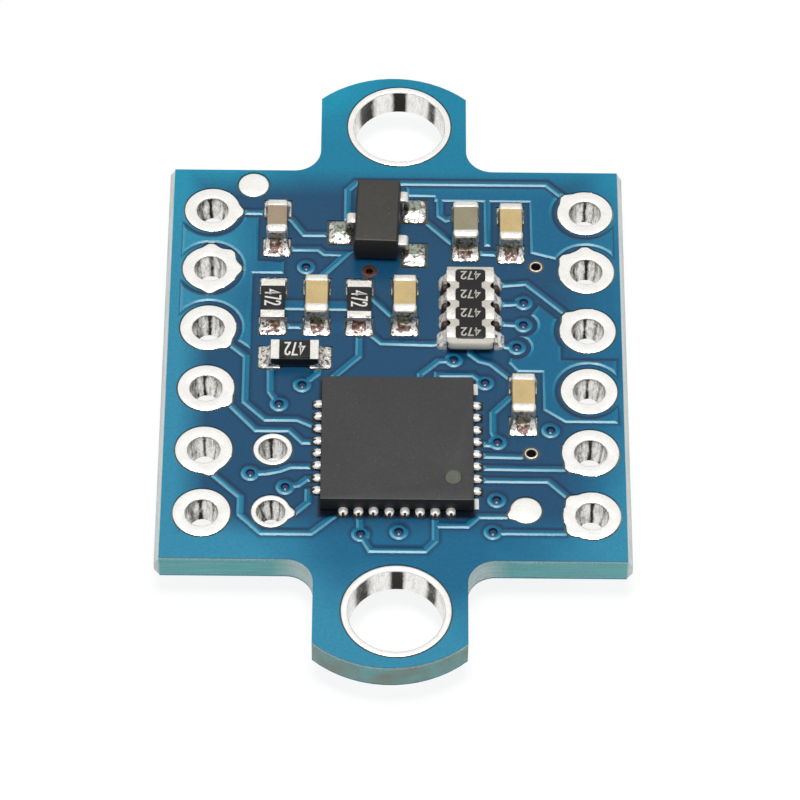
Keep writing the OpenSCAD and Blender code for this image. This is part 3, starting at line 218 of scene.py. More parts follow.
def solder_mask():
    """Liquid epoxy solder mask, blue, cured over copper and laminate."""
    # Clear blue varnish: bright over copper, navy over the dark laminate, thin and cyan
    # on the shoulders of a track, softly glossy. A whitish painted highlight lies on the
    # near shoulder, and a dark tone at the far foot, where the mask pooled, is partly
    # painted shade. Attributes on the mesh say where: shoulders, near highlight, pooled foot.
    look = settings("board_finish")
    material, tree, place = start("blue_epoxy_solder_mask")
    xyz = add_node(tree, "ShaderNodeSeparateXYZ", {0: place})
    height = add_node(tree, "ShaderNodeMath", {0: xyz.outputs["Z"], 1: MASK_Z / 2}, operation="SUBTRACT")
    level = add_node(tree, "ShaderNodeMath", {0: height.outputs[0]}, operation="ABSOLUTE")
    on_copper = add_node(tree, "ShaderNodeMapRange", {
        "Value": level.outputs[0], "From Min": 0.4835, "From Max": 0.49})
    flat = add_node(tree, "ShaderNodeCombineXYZ", {"X": xyz.outputs["X"], "Y": xyz.outputs["Y"]})
    # cloudy change of tone over a few millimetres
    cloud = add_node(tree, "ShaderNodeTexNoise", {
        "Vector": flat.outputs[0], "Scale": 0.35, "Detail": 2.0, "Roughness": 0.5})
    # fine grain of the cured varnish, about 0.08 mm
    grain = add_node(tree, "ShaderNodeTexNoise", {
        "Vector": flat.outputs[0], "Scale": 9.0, "Detail": 3.0, "Roughness": 0.6})
    # painted light: the ends and the long edges take the tone of mask over copper, a painted glow of light
    # from below
    over_copper_and_glow = on_copper
    for axis, first, last in (("Y", 7.0, 8.2), ("Y", -6.3, -7.3), ("X", -6.3, -7.3),
                              ("X", 5.3, 6.9)):
        zone = add_node(tree, "ShaderNodeMapRange", {
            "Value": xyz.outputs[axis], "From Min": first, "From Max": last})
        over_copper_and_glow = add_node(tree, "ShaderNodeMath", {0: over_copper_and_glow.outputs[0], 1: zone.outputs[0]},
                          operation="MAXIMUM")
    # painted light: brighter still outside an oval, over the far tab and along the far edge
    squeezed = add_node(tree, "ShaderNodeMapping", {
        "Vector": flat.outputs[0], "Location": (-1.2 / 7.6, -0.6 / 11.5, 0.0),
        "Scale": (1 / 7.6, 1 / 11.5, 0.0)})
    reach = add_node(tree, "ShaderNodeVectorMath", {0: squeezed.outputs[0]}, operation="LENGTH")
    wide = add_node(tree, "ShaderNodeMath", {
        0: cloud.outputs["Fac"], 1: 0.35, 2: reach.outputs["Value"]}, operation="MULTIPLY_ADD")
    rim = add_node(tree, "ShaderNodeMapRange", {
        "Value": wide.outputs[0], "From Min": 0.98, "From Max": 1.26, "To Max": 0.75})
    tab = add_node(tree, "ShaderNodeMapRange", {
        "Value": xyz.outputs["Y"], "From Min": 6.9, "From Max": 10.0, "To Max": 0.45})
    strip = add_node(tree, "ShaderNodeMapRange", {
        "Value": xyz.outputs["Y"], "From Min": 6.9, "From Max": 8.1, "To Max": 0.36})
    far_side = add_node(tree, "ShaderNodeMath", {0: strip.outputs[0], 1: tab.outputs[0]},
                        operation="MAXIMUM")
    widest = add_node(tree, "ShaderNodeMath", {0: rim.outputs[0], 1: far_side.outputs[0]},
                      operation="MAXIMUM")
    edge = add_node(tree, "ShaderNodeMath", {0: over_copper_and_glow.outputs[0], 1: widest.outputs[0]},
                    operation="MULTIPLY")
    far = add_node(tree, "ShaderNodeMapRange", {
        "Value": xyz.outputs["Y"], "From Min": 4.0, "From Max": 9.0})
    rim_tone = add_node(tree, "ShaderNodeMix", {
        "Factor": far.outputs[0], "A": look.mask_pale_glow, "B": look.mask_rim_glow}, data_type="RGBA")
    # distance from the controller's walls: the mask beside them is darkened by flux and by a painted shadow
    # of the package
    chip, chip_size = centre_of("mcu_body")
    apart = add_node(tree, "ShaderNodeVectorMath", {
        0: flat.outputs[0], 1: (chip.x, chip.y, 0.0)}, operation="SUBTRACT")
    apart = add_node(tree, "ShaderNodeVectorMath", {0: apart.outputs[0]}, operation="ABSOLUTE")
    apart = add_node(tree, "ShaderNodeSeparateXYZ", {0: apart.outputs[0]})
    beside = add_node(tree, "ShaderNodeMath", {0: apart.outputs["X"], 1: 0.22}, operation="ADD")
    gap = add_node(tree, "ShaderNodeMath", {0: beside.outputs[0], 1: apart.outputs["Y"]},
                   operation="MAXIMUM")
    above = add_node(tree, "ShaderNodeMapRange", {
        "Value": xyz.outputs["Z"], "From Min": 0.4, "From Max": 0.6})
    residue_and_shadow = add_node(tree, "ShaderNodeMapRange", {
        "Value": gap.outputs[0], "From Min": chip_size.x / 2 + 0.36,
        "From Max": chip_size.x / 2 + 0.24})
    residue_and_shadow = add_node(tree, "ShaderNodeMath", {0: residue_and_shadow.outputs[0], 1: above.outputs[0]},
                       operation="MULTIPLY")
    shoulder = add_node(tree, "ShaderNodeAttribute", attribute_name="shoulder")
    thin = add_node(tree, "ShaderNodeAttribute", attribute_name="thin")
    thick_and_shade = add_node(tree, "ShaderNodeAttribute", attribute_name="thick_and_shade")
    tone = look.mask_on_board
    for share, other in ((over_copper_and_glow.outputs[0], look.mask_on_copper),
                         (edge.outputs[0], rim_tone.outputs[2]),
                         (shoulder.outputs["Fac"], look.mask_shoulder),
                         (thin.outputs["Fac"], look.mask_thin), (thick_and_shade.outputs["Fac"], look.mask_thick_and_shade),
                         (residue_and_shadow.outputs[0], look.mask_residue_and_shadow)):
        tone = add_node(tree, "ShaderNodeMix", {"Factor": share, "A": tone, "B": other},
                        data_type="RGBA", clamp_factor=True).outputs[2]
    light = add_node(tree, "ShaderNodeMapRange", {
        "Value": grain.outputs["Fac"], "From Min": 0.3, "From Max": 0.7, "To Min": 0.9, "To Max": 1.1})
    shade = add_node(tree, "ShaderNodeHueSaturation", {"Color": tone, "Value": light.outputs[0]})
    bump = add_node(tree, "ShaderNodeBump", {
        "Height": grain.outputs["Fac"], "Strength": 0.3, "Distance": 0.004 * MM})
    rough = add_node(tree, "ShaderNodeMapRange", {
        "Value": cloud.outputs["Fac"], "To Min": 0.2, "To Max": 0.32})
    shader = add_node(tree, "ShaderNodeBsdfPrincipled", {
        "Base Color": shade.outputs["Color"], "Roughness": rough.outputs[0], "IOR": 1.5,
        "Specular IOR Level": 0.3, "Normal": bump.outputs[0]})
    return end(material, tree, shader)


def laminate():
    """Glass-cloth and epoxy laminate, routed and scored."""
    # Translucent sea green with a little depth, its plies in faint level lines;
    # frosted almost white on the scored long edges and along the upper rim.
    look = settings("board_finish")
    material, tree, place = start("cut_glass_epoxy_laminate")
    xyz = add_node(tree, "ShaderNodeSeparateXYZ", {0: place})
    plies = add_node(tree, "ShaderNodeMapping", {"Vector": place, "Scale": (0.6, 0.6, 9.0)})
    lines = add_node(tree, "ShaderNodeTexNoise", {
        "Vector": plies.outputs[0], "Scale": 1.0, "Detail": 3.0, "Roughness": 0.6})
    # broken glass ends, about 0.06 mm
    chips = add_node(tree, "ShaderNodeTexNoise", {
        "Vector": place, "Scale": 14.0, "Detail": 2.0, "Roughness": 0.7})
    both = add_node(tree, "ShaderNodeMix", {
        "Factor": 0.45, "A": lines.outputs["Fac"], "B": chips.outputs["Fac"]})
    value = add_node(tree, "ShaderNodeMapRange", {
        "Value": both.outputs[0], "From Min": 0.3, "From Max": 0.7, "To Min": 0.78, "To Max": 1.18})
    middle = add_node(tree, "ShaderNodeMath", {0: xyz.outputs["X"], 1: 0.1}, operation="ADD")
    aside = add_node(tree, "ShaderNodeMath", {0: middle.outputs[0]}, operation="ABSOLUTE")
    scored = add_node(tree, "ShaderNodeMapRange", {
        "Value": aside.outputs[0], "From Min": 7.55, "From Max": 7.62, "To Max": 0.85})
    ragged = add_node(tree, "ShaderNodeMath", {
        0: chips.outputs["Fac"], 1: 0.25, 2: xyz.outputs["Z"]}, operation="MULTIPLY_ADD")
    upper = add_node(tree, "ShaderNodeMapRange", {
        "Value": ragged.outputs[0], "From Min": 0.93, "From Max": 1.06, "To Max": 0.5})
    pale = add_node(tree, "ShaderNodeMath", {0: scored.outputs[0], 1: upper.outputs[0]},
                    operation="MAXIMUM")
    # the small cutter left the inner corners frosted
    lean = add_node(tree, "ShaderNodeMath", {0: xyz.outputs["X"], 1: 0.19}, operation="ADD")
    inward = add_node(tree, "ShaderNodeMath", {0: lean.outputs[0]}, operation="ABSOLUTE")
    along = add_node(tree, "ShaderNodeMath", {0: xyz.outputs["Y"]}, operation="ABSOLUTE")
    corner = add_node(tree, "ShaderNodeMapRange", {
        "Value": inward.outputs[0], "From Min": 3.9, "From Max": 3.0, "To Max": 0.6})
    before_tab = add_node(tree, "ShaderNodeMapRange", {
        "Value": along.outputs[0], "From Min": 9.7, "From Max": 9.0})
    corner = add_node(tree, "ShaderNodeMath", {0: corner.outputs[0], 1: before_tab.outputs[0]},
                      operation="MULTIPLY")
    pale = add_node(tree, "ShaderNodeMath", {0: pale.outputs[0], 1: corner.outputs[0]},
                    operation="MAXIMUM")
    # patches over about a millimetre on the crowns of the tabs
    wear = add_node(tree, "ShaderNodeTexNoise", {"Vector": place, "Scale": 0.9, "Detail": 2.0})
    worn = add_node(tree, "ShaderNodeMapRange", {
        "Value": wear.outputs["Fac"], "From Min": 0.35, "From Max": 0.65, "To Min": 0.2, "To Max": 0.85})
    crown = add_node(tree, "ShaderNodeMapRange", {
        "Value": along.outputs[0], "From Min": 9.7, "From Max": 11.0})
    worn = add_node(tree, "ShaderNodeMath", {0: worn.outputs[0], 1: crown.outputs[0]},
                    operation="MULTIPLY")
    resin = add_node(tree, "ShaderNodeMix", {
        "Factor": worn.outputs[0], "A": look.laminate, "B": look.laminate_worn}, data_type="RGBA")
    edge = add_node(tree, "ShaderNodeMix", {
        "Factor": pale.outputs[0], "A": resin.outputs[2], "B": look.laminate_pale},
        data_type="RGBA")
    up = add_node(tree, "ShaderNodeMath", {
        0: add_node(tree, "ShaderNodeSeparateXYZ", {
            0: add_node(tree, "ShaderNodeTexCoord").outputs["Normal"]}).outputs["Z"]},
        operation="ABSOLUTE")
    face = add_node(tree, "ShaderNodeMapRange", {
        "Value": up.outputs[0], "From Min": 0.9, "From Max": 0.99})
    tone = add_node(tree, "ShaderNodeMix", {
        "Factor": face.outputs[0], "A": edge.outputs[2], "B": look.laminate_skin}, data_type="RGBA")
    tint = add_node(tree, "ShaderNodeHueSaturation", {
        "Color": tone.outputs[2], "Value": value.outputs[0]})
    bump = add_node(tree, "ShaderNodeBump", {
        "Height": both.outputs[0], "Strength": 0.6, "Distance": 0.02 * MM})
    shader = add_node(tree, "ShaderNodeBsdfPrincipled", {
        "Base Color": tint.outputs["Color"], "Roughness": 0.55, "IOR": 1.55,
        "Subsurface Weight": 0.4, "Subsurface Radius": (0.25, 0.5, 0.45),
        "Subsurface Scale": 0.6 * MM, "Normal": bump.outputs[0]})
    return end(material, tree, shader)


def tin():
    """Hot-levelled tin on copper, bright."""
    # Near-white metal with a soft swell and a faint frost.
    look = settings("board_finish")
    material, tree, place = start("hot_levelled_tin")
    # swell of the levelled tin, about 0.3 mm across
    swell = add_node(tree, "ShaderNodeTexNoise", {
        "Vector": place, "Scale": 2.6, "Detail": 2.0, "Roughness": 0.5})
    frost = add_node(tree, "ShaderNodeTexNoise", {
        "Vector": place, "Scale": 22.0, "Detail": 2.0, "Roughness": 0.6})
    value = add_node(tree, "ShaderNodeMapRange", {
        "Value": frost.outputs["Fac"], "From Min": 0.3, "From Max": 0.7, "To Min": 0.88, "To Max": 1.04})
    tint = add_node(tree, "ShaderNodeHueSaturation", {"Color": look.tin, "Value": value.outputs[0]})
    rough = add_node(tree, "ShaderNodeMapRange", {
        "Value": swell.outputs["Fac"], "To Min": 0.2, "To Max": 0.42})
    bump = add_node(tree, "ShaderNodeBump", {
        "Height": swell.outputs["Fac"], "Strength": 0.6, "Distance": 0.02 * MM})
    shader = add_node(tree, "ShaderNodeBsdfPrincipled", {
        "Base Color": tint.outputs["Color"], "Metallic": 1.0, "Roughness": rough.outputs[0],
        "Normal": bump.outputs[0]})
    return end(material, tree, shader)


def bore_tin():
    """Tin over the drill marks inside a plated hole."""
    # Bright metal with dark bands of painted reflection that run down the bore, set by a
    # vertex attribute, and finer streaks between them, by the attribute "marked".
    look = settings("board_finish")
    material, tree, place = start("drawn_tin_in_a_bore")
    # fine streaks about 0.1 mm wide, drawn out three times down the hole
    drawn = add_node(tree, "ShaderNodeMapping", {"Vector": place, "Scale": (9.0, 9.0, 3.0)})
    fine = add_node(tree, "ShaderNodeTexNoise", {
        "Vector": drawn.outputs[0], "Scale": 1.0, "Detail": 3.0, "Roughness": 0.65,
        "Distortion": 0.6})
    band = add_node(tree, "ShaderNodeAttribute", attribute_name="reflection_band")
    marked = add_node(tree, "ShaderNodeAttribute", attribute_name="marked")
    around = add_node(tree, "ShaderNodeMath", {0: fine.outputs["Fac"], 1: 0.5},
                      operation="SUBTRACT")
    scored = add_node(tree, "ShaderNodeMath", {0: around.outputs[0], 1: marked.outputs["Fac"]},
                      operation="MULTIPLY")
    both = add_node(tree, "ShaderNodeMath", {
        0: scored.outputs[0], 1: 1.5, 2: band.outputs["Fac"]}, operation="MULTIPLY_ADD")
    dark = add_node(tree, "ShaderNodeMapRange", {
        "Value": both.outputs[0], "From Min": -0.05, "From Max": 0.65})
    tone = add_node(tree, "ShaderNodeMix", {
        "Factor": dark.outputs[0], "A": look.tin, "B": look.tin_dark_reflection}, data_type="RGBA")
    bump = add_node(tree, "ShaderNodeBump", {
        "Height": fine.outputs["Fac"], "Strength": 0.8, "Distance": 0.03 * MM})
    shader = add_node(tree, "ShaderNodeBsdfPrincipled", {
        "Base Color": tone.outputs[2], "Metallic": 1.0, "Roughness": 0.24,
        "Normal": bump.outputs[0]})
    return end(material, tree, shader)


def copper(name, tone, roughness):
    """Etched copper foil, stained dark or bare."""
    # Dull reddish metal, seen only as a thin rim and in the vias.
    material, tree, place = start(name)
    etch = add_node(tree, "ShaderNodeTexNoise", {"Vector": place, "Scale": 12.0, "Detail": 3.0})
    value = add_node(tree, "ShaderNodeMapRange", {
        "Value": etch.outputs["Fac"], "To Min": 0.6, "To Max": 1.1})
    tint = add_node(tree, "ShaderNodeHueSaturation", {"Color": tone, "Value": value.outputs[0]})
    shader = add_node(tree, "ShaderNodeBsdfPrincipled", {
        "Base Color": tint.outputs["Color"], "Metallic": 1.0, "Roughness": roughness})
    return end(material, tree, shader)


def solder(name, tone, rough_low, rough_high, bare_metal=1.0, relief=0.8):
    """Reflowed tin-silver-copper solder or matt tin, with flux left in its hollows."""
    # Bright metal with a fine frozen grain. Attributes mark where a tone covers it:
    # "dull" frosted grey, partly a painted reflection; "film" olive and "burnt" black,
    # stains that in places are painted shade; "flux" reddish brown, partly a painted reflection; all with
    # ragged borders.
    look = settings("part_finish")
    material, tree, place = start(name)
    # dendrites of the frozen solder, about 0.06 mm
    grain = add_node(tree, "ShaderNodeTexNoise", {
        "Vector": place, "Scale": 16.0, "Detail": 4.0, "Roughness": 0.65})
    swell = add_node(tree, "ShaderNodeTexNoise", {
        "Vector": place, "Scale": 7.0, "Detail": 4.0, "Roughness": 0.65})
    value = add_node(tree, "ShaderNodeMapRange", {
        "Value": grain.outputs["Fac"], "From Min": 0.3, "From Max": 0.7, "To Min": 0.78, "To Max": 1.05})
    colours = add_node(tree, "ShaderNodeHueSaturation", {
        "Color": tone, "Value": value.outputs[0]}).outputs["Color"]
    patchy = add_node(tree, "ShaderNodeMath", {
        0: swell.outputs["Fac"], 1: 2.6, 2: -1.3}, operation="MULTIPLY_ADD")
    stained_share = 0.0
    for attribute, stain in (("dull", look.dull), ("film", look.film), ("flux", look.flux),
                             ("burnt", look.burnt)):
        mark = add_node(tree, "ShaderNodeAttribute", attribute_name=attribute)
        near = add_node(tree, "ShaderNodeMath", {0: patchy.outputs[0], 1: mark.outputs["Fac"]},
                        operation="ADD")
        cover = add_node(tree, "ShaderNodeMapRange", {
            "Value": near.outputs[0], "From Min": 0.3, "From Max": 0.7})
        gate = add_node(tree, "ShaderNodeMapRange", {
            "Value": mark.outputs["Fac"], "From Min": 0.02, "From Max": 0.2})
        share = add_node(tree, "ShaderNodeMath", {0: cover.outputs[0], 1: gate.outputs[0]},
                         operation="MULTIPLY").outputs[0]
        colours = add_node(tree, "ShaderNodeMix", {"Factor": share, "A": colours, "B": stain},
                           data_type="RGBA").outputs[2]
        stained_share = add_node(tree, "ShaderNodeMath", {0: stained_share, 1: share},
                                 operation="MAXIMUM").outputs[0]
    bare = add_node(tree, "ShaderNodeMapRange", {
        "Value": stained_share, "To Min": bare_metal, "To Max": 0.25})
    rough = add_node(tree, "ShaderNodeMapRange", {
        "Value": grain.outputs["Fac"], "From Min": 0.3, "From Max": 0.7,
        "To Min": rough_low, "To Max": rough_high})
    bump = add_node(tree, "ShaderNodeBump", {
        "Height": swell.outputs["Fac"], "Strength": relief, "Distance": 0.03 * MM})
    fine = add_node(tree, "ShaderNodeBump", {
        "Height": grain.outputs["Fac"], "Strength": 0.4 * relief, "Distance": 0.008 * MM,
        "Normal": bump.outputs[0]})
    shader = add_node(tree, "ShaderNodeBsdfPrincipled", {
        "Base Color": colours, "Metallic": bare.outputs[0],
        "Roughness": rough.outputs[0], "Normal": fine.outputs[0]})
    return end(material, tree, shader)


def moulding(name, tone, grit, sparkle):
    """Black epoxy moulding compound filled with silica."""
    # Dark warm grey with a fine grit and a few grains that catch the light.
    look = settings("part_finish")
    material, tree, place = start(name)
    fine = add_node(tree, "ShaderNodeTexNoise", {
        "Vector": place, "Scale": grit, "Detail": 3.0, "Roughness": 0.7})
    patches = add_node(tree, "ShaderNodeTexNoise", {
        "Vector": place, "Scale": 0.9, "Detail": 3.0, "Roughness": 0.6})
    grains = add_node(tree, "ShaderNodeTexVoronoi", {"Vector": place, "Scale": grit, "Randomness": 1.0})
    pick = add_node(tree, "ShaderNodeSeparateColor", {"Color": grains.outputs["Color"]})
    chosen = add_node(tree, "ShaderNodeMath", {0: pick.outputs[0], 1: 0.93}, operation="GREATER_THAN")
    near = add_node(tree, "ShaderNodeMapRange", {
        "Value": grains.outputs["Distance"], "From Min": 0.1, "From Max": 0.35,
        "To Min": sparkle, "To Max": 0.0})
    spot = add_node(tree, "ShaderNodeMath", {0: chosen.outputs[0], 1: near.outputs[0]},
                    operation="MULTIPLY")
    value = add_node(tree, "ShaderNodeMapRange", {
        "Value": fine.outputs["Fac"], "From Min": 0.3, "From Max": 0.7, "To Min": 0.8, "To Max": 1.2})
    wide = add_node(tree, "ShaderNodeMapRange", {
        "Value": patches.outputs["Fac"], "From Min": 0.3, "From Max": 0.7, "To Min": 0.93, "To Max": 1.07})
    shade = add_node(tree, "ShaderNodeMath", {0: value.outputs[0], 1: wide.outputs[0]},
                     operation="MULTIPLY")
    tint = add_node(tree, "ShaderNodeHueSaturation", {"Color": tone, "Value": shade.outputs[0]})
    specked = add_node(tree, "ShaderNodeMix", {
        "Factor": spot.outputs[0], "A": tint.outputs["Color"], "B": look.speck}, data_type="RGBA")
    bump = add_node(tree, "ShaderNodeBump", {
        "Height": fine.outputs["Fac"], "Strength": 0.5, "Distance": 0.01 * MM})
    shader = add_node(tree, "ShaderNodeBsdfPrincipled", {
        "Base Color": specked.outputs[2], "Roughness": 0.6, "IOR": 1.55,
        "Specular IOR Level": 0.35, "Normal": bump.outputs[0]})
    return end(material, tree, shader)


def ceramic(name, tone, roughness):
    """Fired barium titanate or alumina, tumbled smooth."""
    # Even matt body with a faint grain.
    material, tree, place = start(name)
    # fired grain, about 0.04 mm, drawn coarse enough to show
    grain = add_node(tree, "ShaderNodeTexNoise", {
        "Vector": place, "Scale": 20.0, "Detail": 2.0, "Roughness": 0.6})
    shadow = add_node(tree, "ShaderNodeTexNoise", {
        "Vector": place, "Scale": 1.6, "Detail": 2.0, "Roughness": 0.5})
    mixed = add_node(tree, "ShaderNodeMix", {
        "Factor": 0.5, "A": grain.outputs["Fac"], "B": shadow.outputs["Fac"]})
    value = add_node(tree, "ShaderNodeMapRange", {
        "Value": mixed.outputs[0], "From Min": 0.3, "From Max": 0.7, "To Min": 0.85, "To Max": 1.12})
    tint = add_node(tree, "ShaderNodeHueSaturation", {"Color": tone, "Value": value.outputs[0]})
    bump = add_node(tree, "ShaderNodeBump", {
        "Height": grain.outputs["Fac"], "Strength": 0.3, "Distance": 0.006 * MM})
    shader = add_node(tree, "ShaderNodeBsdfPrincipled", {
        "Base Color": tint.outputs["Color"], "Roughness": roughness, "IOR": 1.6,
        "Specular IOR Level": 0.4, "Normal": bump.outputs[0]})
    return end(material, tree, shader)


def glaze():
    """Black lead-glass overcoat of a resistor, printed and fired."""
    # Deep black with a soft gloss and slightly uneven surface.
    look = settings("part_finish")
    material, tree, place = start("fired_black_glaze")
    wave = add_node(tree, "ShaderNodeTexNoise", {
        "Vector": place, "Scale": 5.0, "Detail": 2.0, "Roughness": 0.5})
    value = add_node(tree, "ShaderNodeMapRange", {
        "Value": wave.outputs["Fac"], "To Min": 0.7, "To Max": 1.5})
    tint = add_node(tree, "ShaderNodeHueSaturation", {"Color": look.glaze, "Value": value.outputs[0]})
    bump = add_node(tree, "ShaderNodeBump", {
        "Height": wave.outputs["Fac"], "Strength": 0.4, "Distance": 0.01 * MM})
    shader = add_node(tree, "ShaderNodeBsdfPrincipled", {
        "Base Color": tint.outputs["Color"], "Roughness": 0.3, "IOR": 1.5,
        "Specular IOR Level": 0.3, "Normal": bump.outputs[0]})
    return end(material, tree, shader)


def ink(name, tone):
    """White epoxy marking ink, screen printed."""
    # Chalky white with slightly thin spots.
    material, tree, place = start(name)
    thin = add_node(tree, "ShaderNodeTexNoise", {"Vector": place, "Scale": 14.0, "Detail": 2.0})
    value = add_node(tree, "ShaderNodeMapRange", {
        "Value": thin.outputs["Fac"], "From Min": 0.35, "From Max": 0.65, "To Min": 0.85, "To Max": 1.0})
    tint = add_node(tree, "ShaderNodeHueSaturation", {"Color": tone, "Value": value.outputs[0]})
    shader = add_node(tree, "ShaderNodeBsdfPrincipled", {
        "Base Color": tint.outputs["Color"], "Roughness": 0.6, "IOR": 1.5})
    return end(material, tree, shader)


def plastic(name, code, roughness, level, transmission=0.0):
    """Moulded or laminated plastic of the distance sensor, or set resin and flux."""
    # Matt cover, thin green carrier, dark clear window or glossy plug, with a fine grain.
    material, tree, place = start(name)
    grain = add_node(tree, "ShaderNodeTexNoise", {
        "Vector": place, "Scale": 18.0, "Detail": 2.0, "Roughness": 0.6})
    value = add_node(tree, "ShaderNodeMapRange", {
        "Value": grain.outputs["Fac"], "From Min": 0.3, "From Max": 0.7, "To Min": 0.85, "To Max": 1.15})
    tint = add_node(tree, "ShaderNodeHueSaturation", {"Color": srgb(code), "Value": value.outputs[0]})
    bump = add_node(tree, "ShaderNodeBump", {
        "Height": grain.outputs["Fac"], "Strength": 0.3, "Distance": 0.005 * MM})
    shader = add_node(tree, "ShaderNodeBsdfPrincipled", {
        "Base Color": tint.outputs["Color"], "Roughness": roughness, "IOR": 1.5,
        "Specular IOR Level": level, "Transmission Weight": transmission,
        "Normal": bump.outputs[0]})
    return end(material, tree, shader)


FINISHES = {}


def finish(key):
    """The material of a key, made when it is first asked for."""
    look, board = settings("part_finish"), settings("board_finish")
    recipes = {
        "mask": (solder_mask,), "laminate": (laminate,), "tin": (tin,), "bore": (bore_tin,),
        "copper": (copper, "stained_copper_foil", board.copper, 0.5),
        "bare_copper": (copper, "bare_copper_foil", board.bare_copper, 0.4),
        "solder": (solder, "reflowed_solder", look.solder, 0.16, 0.34),
        "frosted": (solder, "frosted_solder", look.frost, 0.35, 0.55, 0.35),
        "bead": (solder, "solder_of_fine_beads", look.frost, 0.28, 0.42, 0.5, 0.12),
        "ends": (solder, "matt_tin_on_chip_ends", look.ends, 0.26, 0.46),
        "moulding": (moulding, "filled_black_epoxy", look.moulding, 14.0, 0.25),
        "moulding_2": (moulding, "filled_brown_black_epoxy", look.moulding_2, 9.0, 0.25),
        "sawn_and_shaded": (moulding, "sawn_black_epoxy_with_painted_shade", look.sawn_and_shaded, 12.0, 0.15),
        "mark": (moulding, "marked_epoxy", look.mark, 16.0, 0.3),
        "tan": (ceramic, "tan_titanate_ceramic", look.tan, 0.42),
        "brown": (ceramic, "brown_titanate_ceramic", look.brown, 0.42),
        "olive": (ceramic, "olive_titanate_ceramic", look.olive, 0.42),
        "alumina": (ceramic, "white_alumina", look.alumina, 0.55), "glaze": (glaze,),
        "ink": (ink, "white_epoxy_ink", look.ink),
        "faint_ink": (ink, "thin_white_epoxy_ink", look.faint_ink),
        "plug": (plastic, "solder_mask_in_a_via", "0e2c52", 0.22, 0.5),
        "notch": (plastic, "flux_in_a_notch", "35291f", 0.4, 0.4),
        "carrier": (plastic, "thin_glass_epoxy_carrier", "5d7a4c", 0.5, 0.4),
        "cover": (plastic, "matt_black_cover", "1f1f20", 0.55, 0.4),
        "window": (plastic, "dark_clear_window", "6a5560", 0.05, 0.5, 0.7),
    }
    if key not in FINISHES:
        maker, *values = recipes[key]
        FINISHES[key] = maker(*values)
    return FINISHES[key]


# Meshes, made from places in millimetres


def new_piece(name, bm, finishes, slot, *nodes, sharp=35):
    """Makes a piece of the object from a bmesh that is in metres."""
    bmesh.ops.recalc_face_normals(bm, faces=bm.faces)
    mesh = bpy.data.meshes.new(name)
    bm.to_mesh(mesh)
    bm.free()
    # normals kept from a CAD node would undo the shading
    own_normals = mesh.attributes.get("custom_normal")
    if own_normals:
        mesh.attributes.remove(own_normals)
    for key in finishes:
        mesh.materials.append(finish(key))
    mesh.shade_smooth()
    mesh.set_sharp_from_angle(angle=math.radians(sharp))
    piece = bpy.data.objects.new(name, mesh)
    bpy.context.scene.collection.objects.link(piece)
    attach(piece, "root")
    if nodes:
        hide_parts(*nodes)
    return piece


def node_mesh(node):
    """A welded bmesh of a CAD node."""
    bm = bmesh.new()
    bm.from_mesh(NODES[node].data)
    bmesh.ops.remove_doubles(bm, verts=bm.verts, dist=1e-7)
    return bm


def softened(node, name, finishes, slot, width, segments=2):
    """A copy of a CAD node with its sharp edges rounded, which stands for it."""
    bm = node_mesh(node)
    # its flat faces whole again
    bmesh.ops.dissolve_limit(bm, angle_limit=math.radians(0.5), verts=bm.verts, edges=bm.edges)
    edges = [e for e in bm.edges if len(e.link_faces) == 2 and e.calc_face_angle(0) > math.radians(30)]
    bmesh.ops.bevel(bm, geom=edges, offset=width, offset_type="OFFSET", segments=segments,
                    profile=0.5, affect="EDGES", clamp_overlap=True)
    bmesh.ops.triangulate(bm, faces=[f for f in bm.faces if len(f.verts) > 4])
    return new_piece(name, bm, finishes, slot, node)


def dress(node, key):
    """Gives a CAD node that keeps its own mesh its material."""
    data = NODES[node].data
    data.materials.clear()
    data.materials.append(finish(key))


def stained(piece, name, amount):
    """Gives a piece a stain: amount is a function of a place in millimetres."""
    mesh = piece.data
    layer = mesh.attributes.new(name, "FLOAT", "POINT")
    layer.data.foreach_set("value", [amount(v.co / MM) for v in mesh.vertices])


def centre_of(*nodes):
    """Middle of the box of some CAD nodes, in millimetres, and the box's size."""
    lows, highs = zip(*(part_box(node) for node in nodes))
    low = Vector(min(v[i] for v in lows) for i in range(3)) / MM
    high = Vector(max(v[i] for v in highs) for i in range(3)) / MM
    return (low + high) / 2, high - low


def place_at(x, y, z, turn):
    return Matrix.Translation((x * MM, y * MM, z * MM)) @ Matrix.Rotation(math.radians(turn), 4, "Z")


def between(value, low, high):
    """0 below low, 1 above high, smooth between them; the two may be swapped."""
    t = min(1.0, max(0.0, (value - low) / (high - low)))
    return t * t * (3 - 2 * t)


def evenly(count):
    """Shares from 0 to 1 in even steps."""
    return [k / count for k in range(count + 1)]


def turns(count):
    """Angles of a full turn in even steps."""
    return [2 * math.pi * i / count for i in range(count)]


def quarter(count, first=0):
    """Angles of a quarter turn in even steps, from a first one in degrees."""
    return [math.radians(first + 90 * t) for t in evenly(count)]


def ripple(seed, waves):
    """A smooth function of an angle from 0 to 1, made of waves with fixed random phases."""
    draw = random.Random(seed)
    terms = [(n, draw.uniform(0, 2 * math.pi), draw.uniform(0.5, 1)) for n in waves]
    total = sum(weight for _, _, weight in terms)

    def value(angle):
        return 0.5 + 0.5 * sum(w * math.sin(n * angle + p) for n, p, w in terms) / total
    return value


def layers(bm, *names):
    """Layers of numbers on the vertices of a mesh, made before its vertices."""
    numbers = bm.verts.layers.float
    return [numbers.get(name) or numbers.new(name) for name in names]


def vert(bm, x, y, z, place=None):
    spot = Vector((x * MM, y * MM, z * MM))
    return bm.verts.new(place @ spot if place else spot)


def oval(bm, centre, rx, ry, z, count):
    """A level ring of vertices."""
    return [vert(bm, centre[0] + rx * math.cos(a), centre[1] + ry * math.sin(a), z) for a in turns(count)]


